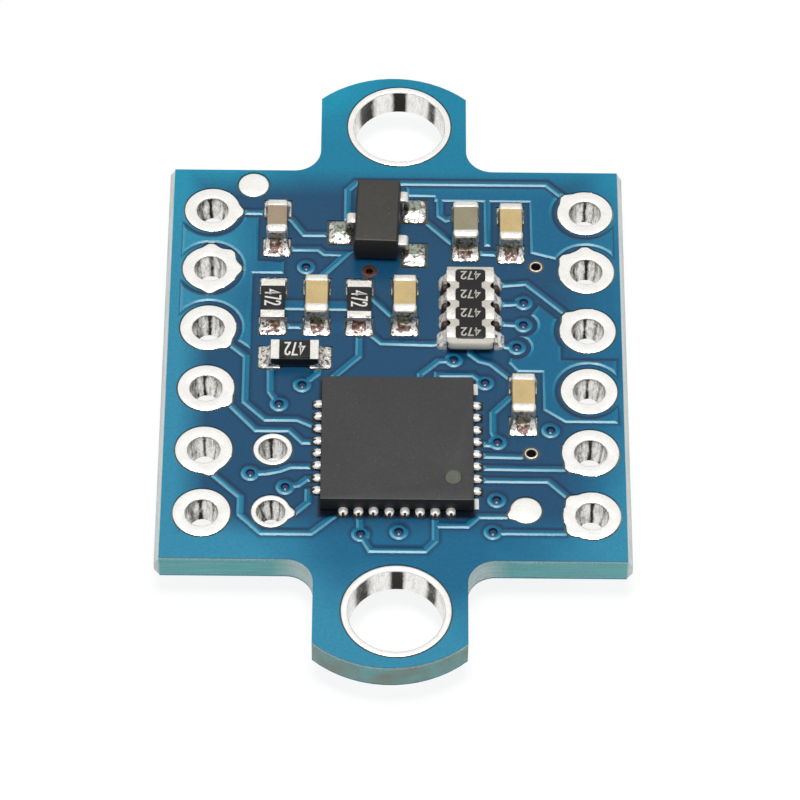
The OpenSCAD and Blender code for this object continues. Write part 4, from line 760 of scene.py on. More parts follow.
def bridge(bm, rings, closed=True):
    """Faces between rings of vertices that have the same count, in one row for each gap."""
    count = len(rings[0])
    pairs = [(i, (i + 1) % count) for i in range(count if closed else count - 1)]
    return [[bm.faces.new((low[i], low[j], high[j], high[i])) for i, j in pairs]
            for low, high in zip(rings, rings[1:])]


def solid(bm, rings):
    """Faces between rings of vertices, and one over each end."""
    bridge(bm, rings)
    bm.faces.new(rings[0])
    bm.faces.new(rings[-1])


def closed_sheet(bm, grid, base):
    """Closes a grid of vertices into a solid that stands on the height base, in metres."""
    bridge(bm, grid, closed=False)
    rim = list(grid[0]) + [row[-1] for row in grid[1:]] + list(reversed(grid[-1][:-1]))
    rim += [row[0] for row in reversed(grid[1:-1])]
    low = [bm.verts.new((v.co.x, v.co.y, base)) for v in rim]
    bridge(bm, [rim, low])
    bm.faces.new(low)


def tail_radius(angle, rim, reach, tails):
    """Reach of a pad's outline at an angle, with its teardrop tails."""
    # a tail's side runs from its root on the pad to its tip
    root, tip = Vector((0.8 * rim, 0.52 * rim)), Vector((reach, 0.085))
    side, best = tip - root, rim
    for tail in tails:
        turn = abs((angle - math.radians(tail) + math.pi) % (2 * math.pi) - math.pi)
        if turn > math.pi / 3:
            continue
        ray = Vector((math.cos(turn), math.sin(turn)))
        along = side.cross(ray)
        if turn <= math.atan2(tip.y, tip.x):
            best = max(best, reach / ray.x)
        elif abs(along) > 1e-9:
            best = max(best, min(side.cross(root) / along, reach * 1.02))
    return best


def reflection_bands(seed, wide):
    """Painted dark reflections in bands down a bore: a function of the angle and of the share of its depth.
    """
    draw = random.Random(seed)
    # middle and half width in degrees, and darkness
    if wide:
        swing, power = 3, 4
        bands = [(138, 12, 0.75), (91, 8, 0.95), (42, 9, 0.75), (215, 9, 0.7), (268, 9, 0.8),
                 (325, 8, 0.7)]
    else:
        swing, power = 8, 2
        bands = [(140, 20, 0.5), (92, 8, 0.75), (48, 7, 0.4), (200, 6, 0.6), (250, 10, 0.7),
                 (300, 7, 0.5), (340, 5, 0.4)]
    bands = [(a + draw.uniform(-swing, swing), w * draw.uniform(0.75, 1.2), d * draw.uniform(0.8, 1.1))
             for a, w, d in bands]

    def value(angle, depth):
        turn = math.degrees(angle)
        waist = 1 if wide else 0.65 + 0.7 * abs(2 * depth - 1)
        return sum(d * math.exp(-(((turn - a + 180) % 360 - 180) / (w * waist)) ** power)
                   for a, w, d in bands)
    return value


def plated_hole(bm, centre, bore, rim, reach, tails, seed, segments):
    """A plated hole: domed rings, rounded mouths and a fluted bore."""
    look = settings("board_finish")
    reflection_band, marked = layers(bm, "reflection_band", "marked")
    is_wide = bore > 1
    dome, mouth, flute = look.ring_dome / MM, look.bore_round / MM, look.flute / MM
    # how much the bore narrows towards the lower face, from the middle of the board down
    gather = 0.11 * min(1, 0.6 / bore)
    marks, wander = ripple(seed, [9, 13, 17, 23, 31]), ripple(seed + 1, [2, 3, 5])
    bands = reflection_bands(seed, is_wide)
    heights = (0.1, 0.28, 0.46, 0.64, 0.82)
    rings = []
    for angle in turns(segments):
        wide = tail_radius(angle, rim, reach, tails)
        inside = bore + flute * marks(angle)
        mouth_r = mouth + 0.02 * wander(angle)
        crown = [(inside + mouth_r * (1 - math.cos(a)), PAD_Z - mouth_r * (1 - math.sin(a)))
                 for a in quarter(4)]
        first = crown[-1][0]
        band = [(first + (wide - first) * t, PAD_Z + 0.005 * math.sin(math.pi * t) - dome * t ** 6)
                for t in (0.15, 0.35, 0.55, 0.72, 0.85, 0.93, 0.98)]
        upper = crown + band + [(wide, MASK_Z - 0.018), (wide - 0.004, BOARD_T)]
        wall = [(bore + BARREL_T, z) for z in (BOARD_T, 0.0)]
        lower = [(min(r, max(rim, r * rim / wide)), BOARD_T - z) for r, z in reversed(upper)]
        lower[-1] = (inside - gather, lower[-1][1])
        down = [(inside - gather * max(0, 1 - z / 0.5), z) for z in heights]
        ring = []
        for r, z in upper + wall + lower + down:
            v = vert(bm, centre[0] + r * math.cos(angle), centre[1] + r * math.sin(angle), z)
            # painted reflection: the dark bands down the bore
            v[reflection_band] = bands(angle, z / BOARD_T)
            v[marked] = 0.45 if is_wide else 1.0
            ring.append(v)
        rings.append(ring)
    for row in bridge(bm, rings + rings[:1]):
        for face in row[-len(heights) - 1:]:
            face.material_index = 1


def domed_pad(bm, centre, rim, reach, tails):
    """A solid tinned pad, domed, with its tails."""
    crown = RAISED_Z + 0.004
    rings = []
    for share, z in ((0.15, crown), (0.4, crown - 0.001), (0.65, crown - 0.004), (0.82, crown - 0.01),
                     (0.93, crown - 0.02), (0.985, crown - 0.034), (1.0, crown - 0.052), (1.0, BOARD_T)):
        around = [(a, share * tail_radius(a, rim, reach, tails)) for a in turns(96)]
        rings.append([vert(bm, centre[0] + r * math.cos(a), centre[1] + r * math.sin(a), z)
                      for a, r in around])
    solid(bm, rings)


def section_points(w, h, r):
    """Points round a rectangle with rounded corners, its bottom at 0."""
    return [(cx * (w / 2 - r) + r * math.cos(a), h / 2 + cz * (h / 2 - r) + r * math.sin(a))
            for cx, cz, first in ((1, 1, 0), (-1, 1, 90), (-1, -1, 180), (1, -1, 270))
            for a in quarter(6, first)]


def chip_end(bm, place, size, band, bulge, seed):
    """A capacitor's metal end: a rounded cap over the body, with a wavy inner edge."""
    w, l, h = size
    film, burnt = layers(bm, "film", "burnt")
    edge = ripple(seed, [2, 3, 5, 7])
    corner_r = 0.11
    # inset from the sides, place along the chip and radius of the corners
    profile = []
    for a in quarter(5):
        inset = corner_r * (1 - math.sin(a))
        profile.append((inset, l / 2 - corner_r + corner_r * math.cos(a), max(corner_r - inset, 0.02)))
    profile += [(-bulge * 0.6, l / 2 - band * 0.6, corner_r), (-bulge, l / 2 - band * 0.85, corner_r),
                (-bulge * 0.4, l / 2 - band, corner_r), (0.03, l / 2 - band - 0.008, corner_r)]
    rings = []
    for k, (inset, y, radius) in enumerate(profile):
        # the face and its rounding are stained, and the last three rings are wavy
        share = (1.0, 0.8, 0.3)[k] if k < 3 else 0.0
        wavy = 0.035 if k >= len(profile) - 3 else 0.0
        points = section_points(w - 2 * inset, h - 2 * inset, radius)
        ring = []
        for a, (x, z) in zip(turns(len(points)), points):
            v = vert(bm, x, y + wavy * (edge(a) - 0.5), max(z + inset, 0.0), place)
            v[film] = share * (0.25 + 0.75 * between(abs(x), w / 2 - 0.06, w / 2 - 0.2))
            v[burnt] = 0.2 * share
            ring.append(v)
        rings.append(ring)
    solid(bm, rings)


def fillet(bm, place, chip_w, chip_l, land_w, reach, inner, height, seed, stain=1.0, full=0.0):
    """Solder round one end of a chip that points along +Y: a hollow skirt on three sides."""
    flux, film, burnt = layers(bm, "flux", "film", "burnt")
    draw = random.Random(seed)
    lean, scale = draw.uniform(-0.12, 0.12), draw.uniform(0.9, 1.08)
    wobble, hump = ripple(seed, [3, 5, 8, 13, 21]), ripple(seed + 7, [2, 3, 5])
    tall = height > 0.5
    half, y_end, foot_half = chip_w / 2 - 0.012, chip_l / 2 - 0.012, land_w / 2
    chip_r, foot_r = 0.07, 0.12
    # chip's outline, foot's outline, share of the height, and place across the front
    path = []
    for t in evenly(7)[:-1]:
        path.append(((-half, inner + (y_end - chip_r - inner) * t),
                     (-foot_half, inner + (reach - foot_r - inner) * t), 0.25 + 0.75 * t ** 1.5, 0.0))
    for a in (math.pi - a for a in quarter(6)[:-1]):
        path.append(((-half + chip_r + chip_r * math.cos(a), y_end - chip_r + chip_r * math.sin(a)),
                     (-foot_half + foot_r + foot_r * math.cos(a), reach - foot_r + foot_r * math.sin(a)),
                     1.0, 0.0))
    mirror = [((-c[0], c[1]), (-f[0], f[1]), h, s) for c, f, h, s in reversed(path)]
    for t in evenly(22):
        path.append(((-half + chip_r + 2 * (half - chip_r) * t, y_end),
                     (-foot_half + foot_r + 2 * (foot_half - foot_r) * t, reach),
                     1 - 0.3 * (1 - abs(2 * t - 1)), 1 - abs(2 * t - 1 + lean) / (1 + abs(lean))))
    path += mirror
    rings = []
    for around, (chip, foot, share, across) in zip(turns(len(path)), path):
        pull = 0.1 * wobble(around) ** 2
        foot = (foot[0] * (1 - 0.5 * pull), inner + (foot[1] - inner) * (1 - pull))
        top = max(CHIP_FILM + 0.02,
                  min(height * share * scale * (0.86 + 0.28 * hump(around)), height * 1.15))
        ring = [vert(bm, *foot, 0, place)]
        for u, a in zip(evenly(12), quarter(12)):
            x, y = (f + (c - f) * math.sin(a) for f, c in zip(foot, chip))
            onset = 0.38 - 0.3 * u if tall else 0.2
            hollow = stain * between(across, onset, onset + 0.16)
            swell = 0.03 * (1 - hollow) * math.sin(math.pi * min(1, 2.2 * (1 - math.sin(a))))
            rise = (1 - full) * (1 - math.cos(a)) + full * u ** 0.7
            film_t = CHIP_FILM * (1 if u else 0.5)
            v = vert(bm, x, y, film_t + (top - CHIP_FILM) * rise + swell, place)
            # partly painted reflection: the brown flux tone in the front hollow of a fillet stands in for a
            # dark brown reflection there
            v[flux] = 0.75 * hollow * between(u, 0.02, 0.15) * (1 - between(u, 0.5, 0.7) * tall)
            v[film] = 0.85 * hollow * between(u, 0.5, 0.7) * tall
            v[burnt] = 0.26 if full else 0.3
            ring.append(v)
        inside_y = chip[1] - 0.06 if share < 1 or across > 0 else chip[1]
        ring += [vert(bm, chip[0] * 0.8, inside_y, z, place) for z in (top, 0)]
        rings.append(ring)
    solid(bm, rings)


def bead(bm, place, seed):
    """Solder of a flush terminal: a bright ball from y = 0 outwards, burnt at its foot."""
    width, run, height, count = 0.35, 0.33, 0.17, 18
    burnt, = layers(bm, "burnt")
    draw = random.Random(seed)
    lean, tall = draw.uniform(-0.02, 0.02), draw.uniform(0.85, 1.12)
    spot, reach = draw.uniform(0.035, 0.055), draw.uniform(0.66, 0.76)
    border_t = 0.4 * LEAD_FILM
    grid = []
    for v in evenly(count):
        half = width / 2 * (1 - 0.12 * (2 * v - 1) ** 4)
        row = []
        for u in (2 * t - 1 for t in evenly(count)):
            x, y = half * u, run * v
            off = math.hypot((u - lean / half * 0.5) / 0.98, max(0, v - 0.34) / (reach - 0.12))
            ball = max(0, 1 - off ** 2.4) ** 0.5
            p = vert(bm, x, y, border_t + (height * tall - border_t) * ball, place)
            # painted shade: a dark spot where the shade of a hollow would lie, on a ball that has no hollow
            shaded_hollow = math.hypot((x - lean) / spot, (y - 0.78 * run) / (0.2 * run))
            p[burnt] = 1.4 * max(1 - between(shaded_hollow, 0.7, 1.2), between(off, 0.9, 1.0))
            row.append(p)
        grid.append(row)
    closed_sheet(bm, grid, place.translation.z)


def rounded(angle, a, b):
    """Reach at an angle of a rounded rectangle of half sizes a and b."""
    power = 5
    total = (abs(math.cos(angle)) / a) ** power + (abs(math.sin(angle)) / b) ** power
    return total ** (-1 / power)


def pool(bm, place, foot, seed):
    """Solder over a land and the foot on it, in one sheet that sinks away from the foot."""
    land, height, count = (0.85, 1.0), 0.17, 30
    burnt, dull = layers(bm, "burnt", "dull")
    (x0, x1), (y0, y1) = foot
    wobble = ripple(seed, [2, 3, 5, 8, 13])
    shares = [2 * t - 1 for t in evenly(count)]
    grid = []
    for v in shares:
        row = []
        for u in shares:
            angle, outer = math.atan2(v * land[1], u * land[0]), max(abs(u), abs(v))
            far = outer * rounded(angle, land[0] / 2, land[1] / 2) * (1 - 0.08 * wobble(angle))
            x, y = far * math.cos(angle), far * math.sin(angle)
            away = math.hypot(max(x0 - x, 0, x - x1), max(y0 - y, 0, y - y1))
            wave = 0.02 * noise.noise(Vector((x * 3.1 + seed, y * 3.1, 0.5))) * (away > 0)
            z = LEAD_FILM + (height - LEAD_FILM) * math.exp(-(away / 0.15) ** 1.3) + wave
            p = vert(bm, x, y, max(0.012, z * (1 - between(outer, 0.9, 1.0) * 0.55)), place)
            # painted reflection: the grey-green dull tone round the foot and over the far part of the land
            # stands in for the surround mirrored in the solder
            p[dull] = 0.75 * (1 - between(away, 0.03, 0.1)) + 0.5 * between(y, -0.05, 0.1)
            p[burnt] = 0.32
            row.append(p)
        grid.append(row)
    closed_sheet(bm, grid, place.translation.z)


# Plain number on the resistors, the height of its ink over and under the coat, and the
# strokes of its digits: points on a cell 0.6 wide and 1 high
CODE = "472"
INK_TOP, INK_FOOT = 0.004, -0.01
DIGITS = {
    "4": [[(0.46, 0.0), (0.46, 1.0), (0.02, 0.32), (0.6, 0.32)]],
    "7": [[(0.02, 1.0), (0.56, 1.0), (0.22, 0.0)]],
    "2": [[(0.04, 0.76), (0.1, 0.94), (0.3, 1.0), (0.5, 0.93), (0.55, 0.74), (0.46, 0.54),
           (0.03, 0.0), (0.58, 0.0)]],
}


def printed_number(bm, place, tall, wide, stroke):
    """Raised ink of the number, centred, each stroke a closed bar with mitred bends."""
    advance = 0.82 * wide
    left = -((len(CODE) - 1) * advance + 0.6 * wide) / 2
    for n, digit in enumerate(CODE):
        for line in DIGITS[digit]:
            points = [Vector((left + n * advance + x * wide, (y - 0.5) * tall)) for x, y in line]
            ways = [(q - p).normalized() for p, q in zip(points, points[1:])]
            rings = []
            for i, p in enumerate(points):
                before, after = ways[max(i - 1, 0)], ways[min(i, len(ways) - 1)]
                n1, n2 = Vector((-before.y, before.x)), Vector((-after.y, after.x))
                aside = (n1 + n2) / max(0.35, 1 + n1.dot(n2)) * stroke / 2
                # the two ends reach a little further
                p = p + before * (((i == len(ways)) - (i == 0)) * stroke * 0.35)
                rings.append([vert(bm, *(p + aside * sign), z, place) for sign, z in (
                    (1, INK_TOP), (-1, INK_TOP), (-1, INK_FOOT), (1, INK_FOOT))])
            solid(bm, rings)


# The solder mask, drawn anew from the faces of its CAD node


# Direction on the board towards the near side: shoulders that face it get a painted highlight, feet that
# face away a painted shade
HIGHLIGHT_SIDE = Vector((-0.35, -0.94))


def in_order(faces):
    """Faces in the order of their mesh, so that each run gives the same result."""
    return sorted(faces, key=lambda face: face.index)


def numbered(counts):
    """Runs of numbers, one after another, of the given lengths."""
    runs, first = [], 0
    for count in counts:
        runs.append(tuple(range(first, first + count)))
        first += count
    return runs


def corner(point):
    """A key that is the same for points that meet."""
    return round(point.x, 4), round(point.y, 4)


def border(faces, out):
    """Border edges of some level faces, in millimetres: start, end and unit vector away from them."""
    edges = []
    for face in in_order(faces):
        for loop in face.loops:
            if not all(g in faces for g in loop.edge.link_faces):
                a, b = (v.co.to_2d() / MM for v in (loop.vert, loop.link_loop_next.vert))
                along = (b - a).normalized()
                edges.append((a, b, Vector((along.y, -along.x)) * out))
    return edges


def islands(faces):
    """Groups of faces that hang together by their edges."""
    left, groups = set(faces), []
    while left:
        group, near = set(), {left.pop()}
        while near:
            group |= near
            near = {f for face in near for e in face.edges for f in e.link_faces} & left
            left -= near
        groups.append(group)
    return groups


def offset(edges, width):
    """Edges moved by a width, mitred where they meet."""
    into = {corner(b): way for a, b, way in edges}
    out_of = {corner(a): way for a, b, way in edges}

    def moved(point, way):
        one, two = into.get(corner(point), way), out_of.get(corner(point), way)
        return point + (one + two) * (width / max(0.5, 1 + one.dot(two)))
    return [(moved(a, way), moved(b, way)) for a, b, way in edges]


def sloped_mask(node, name, level, raised):
    """A mask node drawn anew, with thin shoulders and pooled feet beside its raised tracks, a painted
    highlight on near shoulders and painted shade at far feet.
    """
    look = settings("board_finish")
    slope, fade, foot = look.slope / MM, look.fade / MM, look.foot / MM
    out = 1 if raised > level else -1
    base = BOARD_T if out > 0 else 0.0
    source = node_mesh(node)
    source.faces.index_update()

    def skin(height):
        return {f for f in source.faces if f.normal.z * out > 0.5
                and all(abs(v.co.z / MM - height) < 0.002 for v in f.verts)}
    low, high = skin(level), skin(raised)
    # scraps of copper under a tenth of a square millimetre hardly lift the mask
    scraps = {f for island in islands(high) if sum(g.calc_area() for g in island) < 0.1 * MM ** 2
              for f in island}
    low_edges = border(low, out)
    met = {corner(p) for a, b, _ in low_edges for p in (a, b)}
    steps = [(a, b, way) for a, b, way in border(high - scraps, out)
             if corner(a) in met and corner(b) in met]
    lines = [(a, b) for a, b, _ in low_edges + border(high, out)]
    for width in (-slope, -slope - fade, -slope - 2 * fade, foot, 3 * foot):
        lines += offset(steps, width)
    flat, _, faces, *_ = delaunay_2d_cdt(
        [p for line in lines for p in line], numbered([2] * len(lines)), [], 0, 1e-4)
    # upright strips along the steps give the distance to the nearest one
    strips = BVHTree.FromPolygons(
        [Vector((p.x, p.y, z)) for a, b, _ in steps for p, z in ((a, -1), (b, -1), (b, 1), (a, 1))],
        numbered([4] * len(steps)))
    cover = in_order(low) + in_order(high)
    whole = BVHTree.FromPolygons([v.co / MM for f in cover for v in f.verts],
                                 numbered([len(f.verts) for f in cover]))
    away = [strips.find_nearest(Vector((p.x, p.y, 0)))[3] for p in flat]
    kept, lift = [], {}
    for face in faces:
        middle = sum((flat[i] for i in face), Vector((0, 0))) / len(face)
        hit = whole.ray_cast(Vector((middle.x, middle.y, 5 * out)), Vector((0, 0, -out)))
        if hit[0] is not None:
            under = cover[hit[2]]
            share = 0.1 if under in scraps else 1.0 if under in high else 0.0
            nearest = strips.find_nearest(Vector((middle.x, middle.y, 0)))[2]
            kept.append((face, share, steps[nearest][2].dot(HIGHLIGHT_SIDE)))
            lift.update({i: max(share, lift.get(i, 0)) for i in face})
    bm = bmesh.new()
    shoulder, thin, thick_and_shade = (bm.loops.layers.float.new(key) for key in ("shoulder", "thin", "thick_and_shade"))
    top, bottom = {}, {}
    for i in sorted(lift):
        rise = min(1, away[i] / slope) * lift[i]
        top[i] = vert(bm, *flat[i], level + (raised - level) * rise)
        bottom[i] = vert(bm, *flat[i], base)
    used = set()
    for face, share, side in kept:
        made = bm.faces.new([top[i] for i in face])
        bm.faces.new([bottom[i] for i in reversed(face)])
        used.update(zip(face, face[1:] + face[:1]))
        for loop, i in zip(made.loops, face):
            # painted highlight on shoulders that face the near side; the cyan of a shoulder is weaker where
            # it faces away, which is painted shade
            if share == 1:
                near = 1 - between(away[i], slope, slope + fade)
                loop[shoulder] = 0.75 * (1 - between(away[i], slope, slope + 2 * fade)) * min(1, 1.4 + side)
                loop[thin], loop[thick_and_shade] = max(0, side) * near, max(0, -side) * near * 0.8
            else:
                # pooled mask at the foot of a step, darker where it faces away from the near side: partly
                # painted shade
                pooled_and_shaded = 1 - between(away[i], foot, 3 * foot)
                loop[thick_and_shade] = pooled_and_shaded * (0.55 + 0.4 * max(0, -side))
    for i, j in used:
        if (j, i) not in used:
            bm.faces.new((top[j], top[i], bottom[i], bottom[j]))
    source.free()
    new_piece(name, bm, ["mask"], "solder_mask", node, sharp=15)


def via_centres():
    """Centres in millimetres of the plated tubes in the CAD node of the vias."""
    bm = node_mesh("vias")
    centres = []
    for tube in islands(bm.faces):
        xs, ys = zip(*(v.co.xy for face in tube for v in face.verts))
        centres.append(Vector(((min(xs) + max(xs)) / 2, (min(ys) + max(ys)) / 2)) / MM)
    bm.free()
    return sorted(centres, key=lambda c: (round(c.x, 3), round(c.y, 3)))


# Operators: one for each group of pieces


class DressLaminate(bpy.types.Operator):
    """Gives the laminate eased edges and its cut, frosted finish"""
    bl_idname = "sensor_module.laminate"
    bl_label = "Laminate"

    def execute(self, context):
        softened("circuit_board", "laminate", ["laminate"], "laminate", 0.02 * MM, 1)
        return {"FINISHED"}


class DressMask(bpy.types.Operator):
    """Slopes the shoulders of the solder mask beside the tracks on both faces"""
    bl_idname = "sensor_module.mask"
    bl_label = "Solder mask"

    def execute(self, context):
        sloped_mask("solder_mask_top", "mask_top", MASK_Z, RAISED_Z)
        sloped_mask("solder_mask_bottom", "mask_bottom", BOARD_T - MASK_Z, BOARD_T - RAISED_Z)
        return {"FINISHED"}


# Centres of the vias whose ring is bare, in millimetres; the first was left without tin
BARE_VIAS = [(-0.98, 3.75), (4.4, -3.85), (4.65, 4.0)]


class DressCopper(bpy.types.Operator):
    """Gives the copper and the vias their metal, fills the covered vias and rings the bare ones"""
    bl_idname = "sensor_module.copper"
    bl_label = "Copper and vias"

    def execute(self, context):
        for node in ("copper_top", "copper_bottom", "vias"):
            dress(node, "copper")
        bm = bmesh.new()
        for k, centre in enumerate(BARE_VIAS):
            bore, rim = (0.165, 0.22) if k else (0.11, 0.25)
            profile = [(bore, 0.9), (bore, 0.96), (bore + 0.012, 0.978), (rim - 0.035, 0.984),
                       (rim - 0.015, 0.98), (rim - 0.002, 0.965), (rim, 0.945), (rim - 0.04, 0.94)]
            rings = [[vert(bm, centre[0] + r * math.cos(a), centre[1] + r * math.sin(a), z)
                      for r, z in profile] for a in turns(64)]
            for row in bridge(bm, rings + rings[:1]):
                for face in row:
                    face.material_index = 0 if k else 1
        new_piece("bare_via_rings", bm, ["ends", "bare_copper"], "tinned_copper")
        plug = ((0.158, 0.8), (0.158, 0.93), (0.13, 0.943), (0.1, 0.956), (0.065, 0.967), (0.03, 0.973))
        covered = [centre for centre in via_centres()
                   if all((centre - Vector(bare)).length >= 0.05 for bare in BARE_VIAS)]
        bm = bmesh.new()
        for on_top in (True, False):
            for centre in covered:
                solid(bm, [oval(bm, centre, r, r, z if on_top else BOARD_T - z, 32) for r, z in plug])
        new_piece("filled_vias", bm, ["plug"], "solder_mask")
        return {"FINISHED"}


# Radius of a pad, and reach of its tails, which are the bare ends of tracks
PIN_PAD, WIRE_PAD, TEST_PAD = (0.94, 1.06), (0.64, 0.78), (0.52, 0.64)
# Directions in degrees of the tails of each pin hole
TAILS = {
    "left": [[-4], [90, 45, 0, -90], [-48], [-38], [-75], []],
    "right": [[135], [92, 143], [138], [], [222], [137, 223]],
}


class BuildPlatedHoles(bpy.types.Operator):
    """Builds the mounting holes, pin holes and wire holes with domed rings and fluted bores"""
    bl_idname = "sensor_module.plated_holes"
    bl_label = "Plated holes"

    def execute(self, context):
        def new_hole(name, bm, node):
            new_piece(name, bm, ["tin", "bore"], "tinned_copper", node, sharp=50)
        for side, seed in (("left", 5), ("right", 0)):
            for row, tails in enumerate(TAILS[side]):
                name = f"pin_hole_{side}_{row + 1}"
                centre, bore = Vector(MOUNTS[name]["pos_m"]) / MM, MOUNTS[name]["dims"]["r_mm"]
                bm = bmesh.new()
                plated_hole(bm, centre, bore, *PIN_PAD, tails, 10 * row + seed, 192)
                new_hole(name, bm, f"barrel_{side}_{row + 1}")
        bore = MOUNTS["mounting_holes"]["dims"]["hole_r_mm"]
        for side, seed in (("far", 17), ("near", 18)):
            centre, size = centre_of(f"barrel_mounting_{side}")
            bm = bmesh.new()
            plated_hole(bm, centre, bore, size.x / 2, 0, [], seed, 320)
            new_hole(f"mounting_hole_{side}", bm, f"barrel_mounting_{side}")
        bm = bmesh.new()
        for name, tails, seed in (("wire_hole_1", [], 71), ("wire_hole_2", [-5], 72)):
            centre, bore = Vector(MOUNTS[name]["pos_m"]) / MM, MOUNTS[name]["dims"]["r_mm"]
            plated_hole(bm, centre, bore, *WIRE_PAD, tails, seed, 160)
        new_hole("wire_holes", bm, "barrels_wire_holes")
        return {"FINISHED"}


class BuildTestPads(bpy.types.Operator):
    """Builds the two domed test pads"""
    bl_idname = "sensor_module.test_pads"
    bl_label = "Test pads"

    def execute(self, context):
        bm = bmesh.new()
        for centre, tails in (((-4.97, 7.48), []), ((4.2, -6.15), [203])):
            domed_pad(bm, centre, *TEST_PAD, tails)
        new_piece("domed_test_pads", bm, ["tin"], "tinned_copper", "test_pads", sharp=50)
        return {"FINISHED"}


def is_dark_side(polygon):
    """Whether a side face of a moulded body takes the dark sawn tone, which is partly painted shade, and
    not the painted highlight of the near rim.
    """
    return polygon.normal.z < 0.3 or polygon.normal.y > -0.2


class DressController(bpy.types.Operator):
    """Eases the microcontroller's edges, dresses it and prints its two corner marks"""
    bl_idname = "sensor_module.controller"
    bl_label = "Microcontroller"

    def execute(self, context):
        body = softened("mcu_body", "controller_body", ["moulding", "mark", "sawn_and_shaded"],
                        "epoxy_moulding", 0.02 * MM)
        mark_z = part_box("mcu_body")[1].z - 0.02 * MM

        def in_mark(polygon):
            return polygon.normal.z > 0.9 and 1.5 * MM < polygon.center.z < mark_z
        # the mark, enlarged and moved to where the photograph shows it
        growth, shift = 1.2, Vector((0.116, 0.107)) * MM
        spot = max(filter(in_mark, body.data.polygons), key=lambda p: p.area).center.copy()
        for v in body.data.vertices:
            if (v.co - spot).xy.length < 0.4 * MM:
                v.co.xy = spot.xy + shift + growth * (v.co - spot).xy
        for polygon in body.data.polygons:
            if in_mark(polygon):
                polygon.material_index = 1
            elif abs(polygon.normal.z) < 0.95:
                # side faces: the dark sawn tone, partly painted shade, or on the near rounded edge a
                # painted highlight in the mark's tone
                polygon.material_index = 2 if is_dark_side(polygon) else 1
        feet = softened("mcu_terminals", "controller_terminals", ["ends", "sawn_and_shaded"], "chip_ends",
                        0.004 * MM, 1)
        for polygon in feet.data.polygons:
            # the terminals' upper and side faces take the same dark sawn tone
            if polygon.normal.z > -0.5:
                polygon.material_index = 1
        bm = bmesh.new()
        for low, high in (((2.52, -1.46), (2.66, -1.02)), ((2.53, -6.13), (2.67, -5.71))):
            for v in bmesh.ops.create_cube(bm, size=1)["verts"]:
                x, y, z = (c + 0.5 for c in v.co)
                v.co = Vector((low[0] + (high[0] - low[0]) * x, low[1] + (high[1] - low[1]) * y,
                               MASK_Z - 0.01 + 0.022 * z)) * MM
        new_piece("corner_marks", bm, ["ink"], "solder_mask")
        return {"FINISHED"}


class DressRegulator(bpy.types.Operator):
    """Eases the regulator's edges and gives it its moulding and its leads"""
    bl_idname = "sensor_module.regulator"
    bl_label = "Regulator"

    def execute(self, context):
        case = softened("regulator_body", "regulator_case", ["moulding_2", "sawn_and_shaded", "mark"],
                        "epoxy_moulding", 0.03 * MM)
        for polygon in case.data.polygons:
            if polygon.normal.z < 0.95:
                # side faces: the dark sawn tone, partly painted shade, or on the near rounded edge a
                # painted highlight in the mark's tone
                polygon.material_index = 1 if is_dark_side(polygon) else 2
        # set down about two degrees askew
        middle = centre_of("regulator_body")[0] * MM
        case.data.transform(Matrix.Translation(middle) @ Matrix.Rotation(math.radians(-2), 4, "Z")
                            @ Matrix.Diagonal((0.95, 0.985, 1, 1)) @ Matrix.Translation(-middle))
        feet = softened("regulator_leads", "regulator_feet", ["ends"], "chip_ends", 0.04 * MM, 3)
        # painted shadow: the leads darken below their shoulders, where the body's shadow falls, given as
        # flux film and burnt flux
        stained(feet, "film", lambda p: 1 - between(p.z, 1.42, 1.56))
        stained(feet, "burnt", lambda p: 0.5 * (1 - between(p.z, 1.45, 1.6)))
        return {"FINISHED"}


class BuildCapacitors(bpy.types.Operator):
    """Builds the rounded metal ends of the capacitors and dresses their ceramic"""
    bl_idname = "sensor_module.capacitors"
    bl_label = "Capacitors"

    def execute(self, context):
        bulge = settings("part_finish").end_bulge / MM
        for k, tone in enumerate(("brown", "olive", "tan", "tan", "tan", "tan"), 1):
            dress(f"capacitor_{k}_body", tone)
            centre, size = centre_of(f"capacitor_{k}_ends")
            bm = bmesh.new()
            for turn, seed in ((0, 10 * k), (180, 10 * k + 1)):
                chip_end(bm, place_at(centre.x, centre.y, SEAT_Z, turn), size, 0.3, bulge, seed)
            new_piece(f"capacitor_{k}_metal", bm, ["ends"], "chip_ends", f"capacitor_{k}_ends")
        for k in (1, 2):
            dress(f"low_capacitor_{k}_body", "tan")
            dress(f"low_capacitor_{k}_ends", "ends")
        return {"FINISHED"}


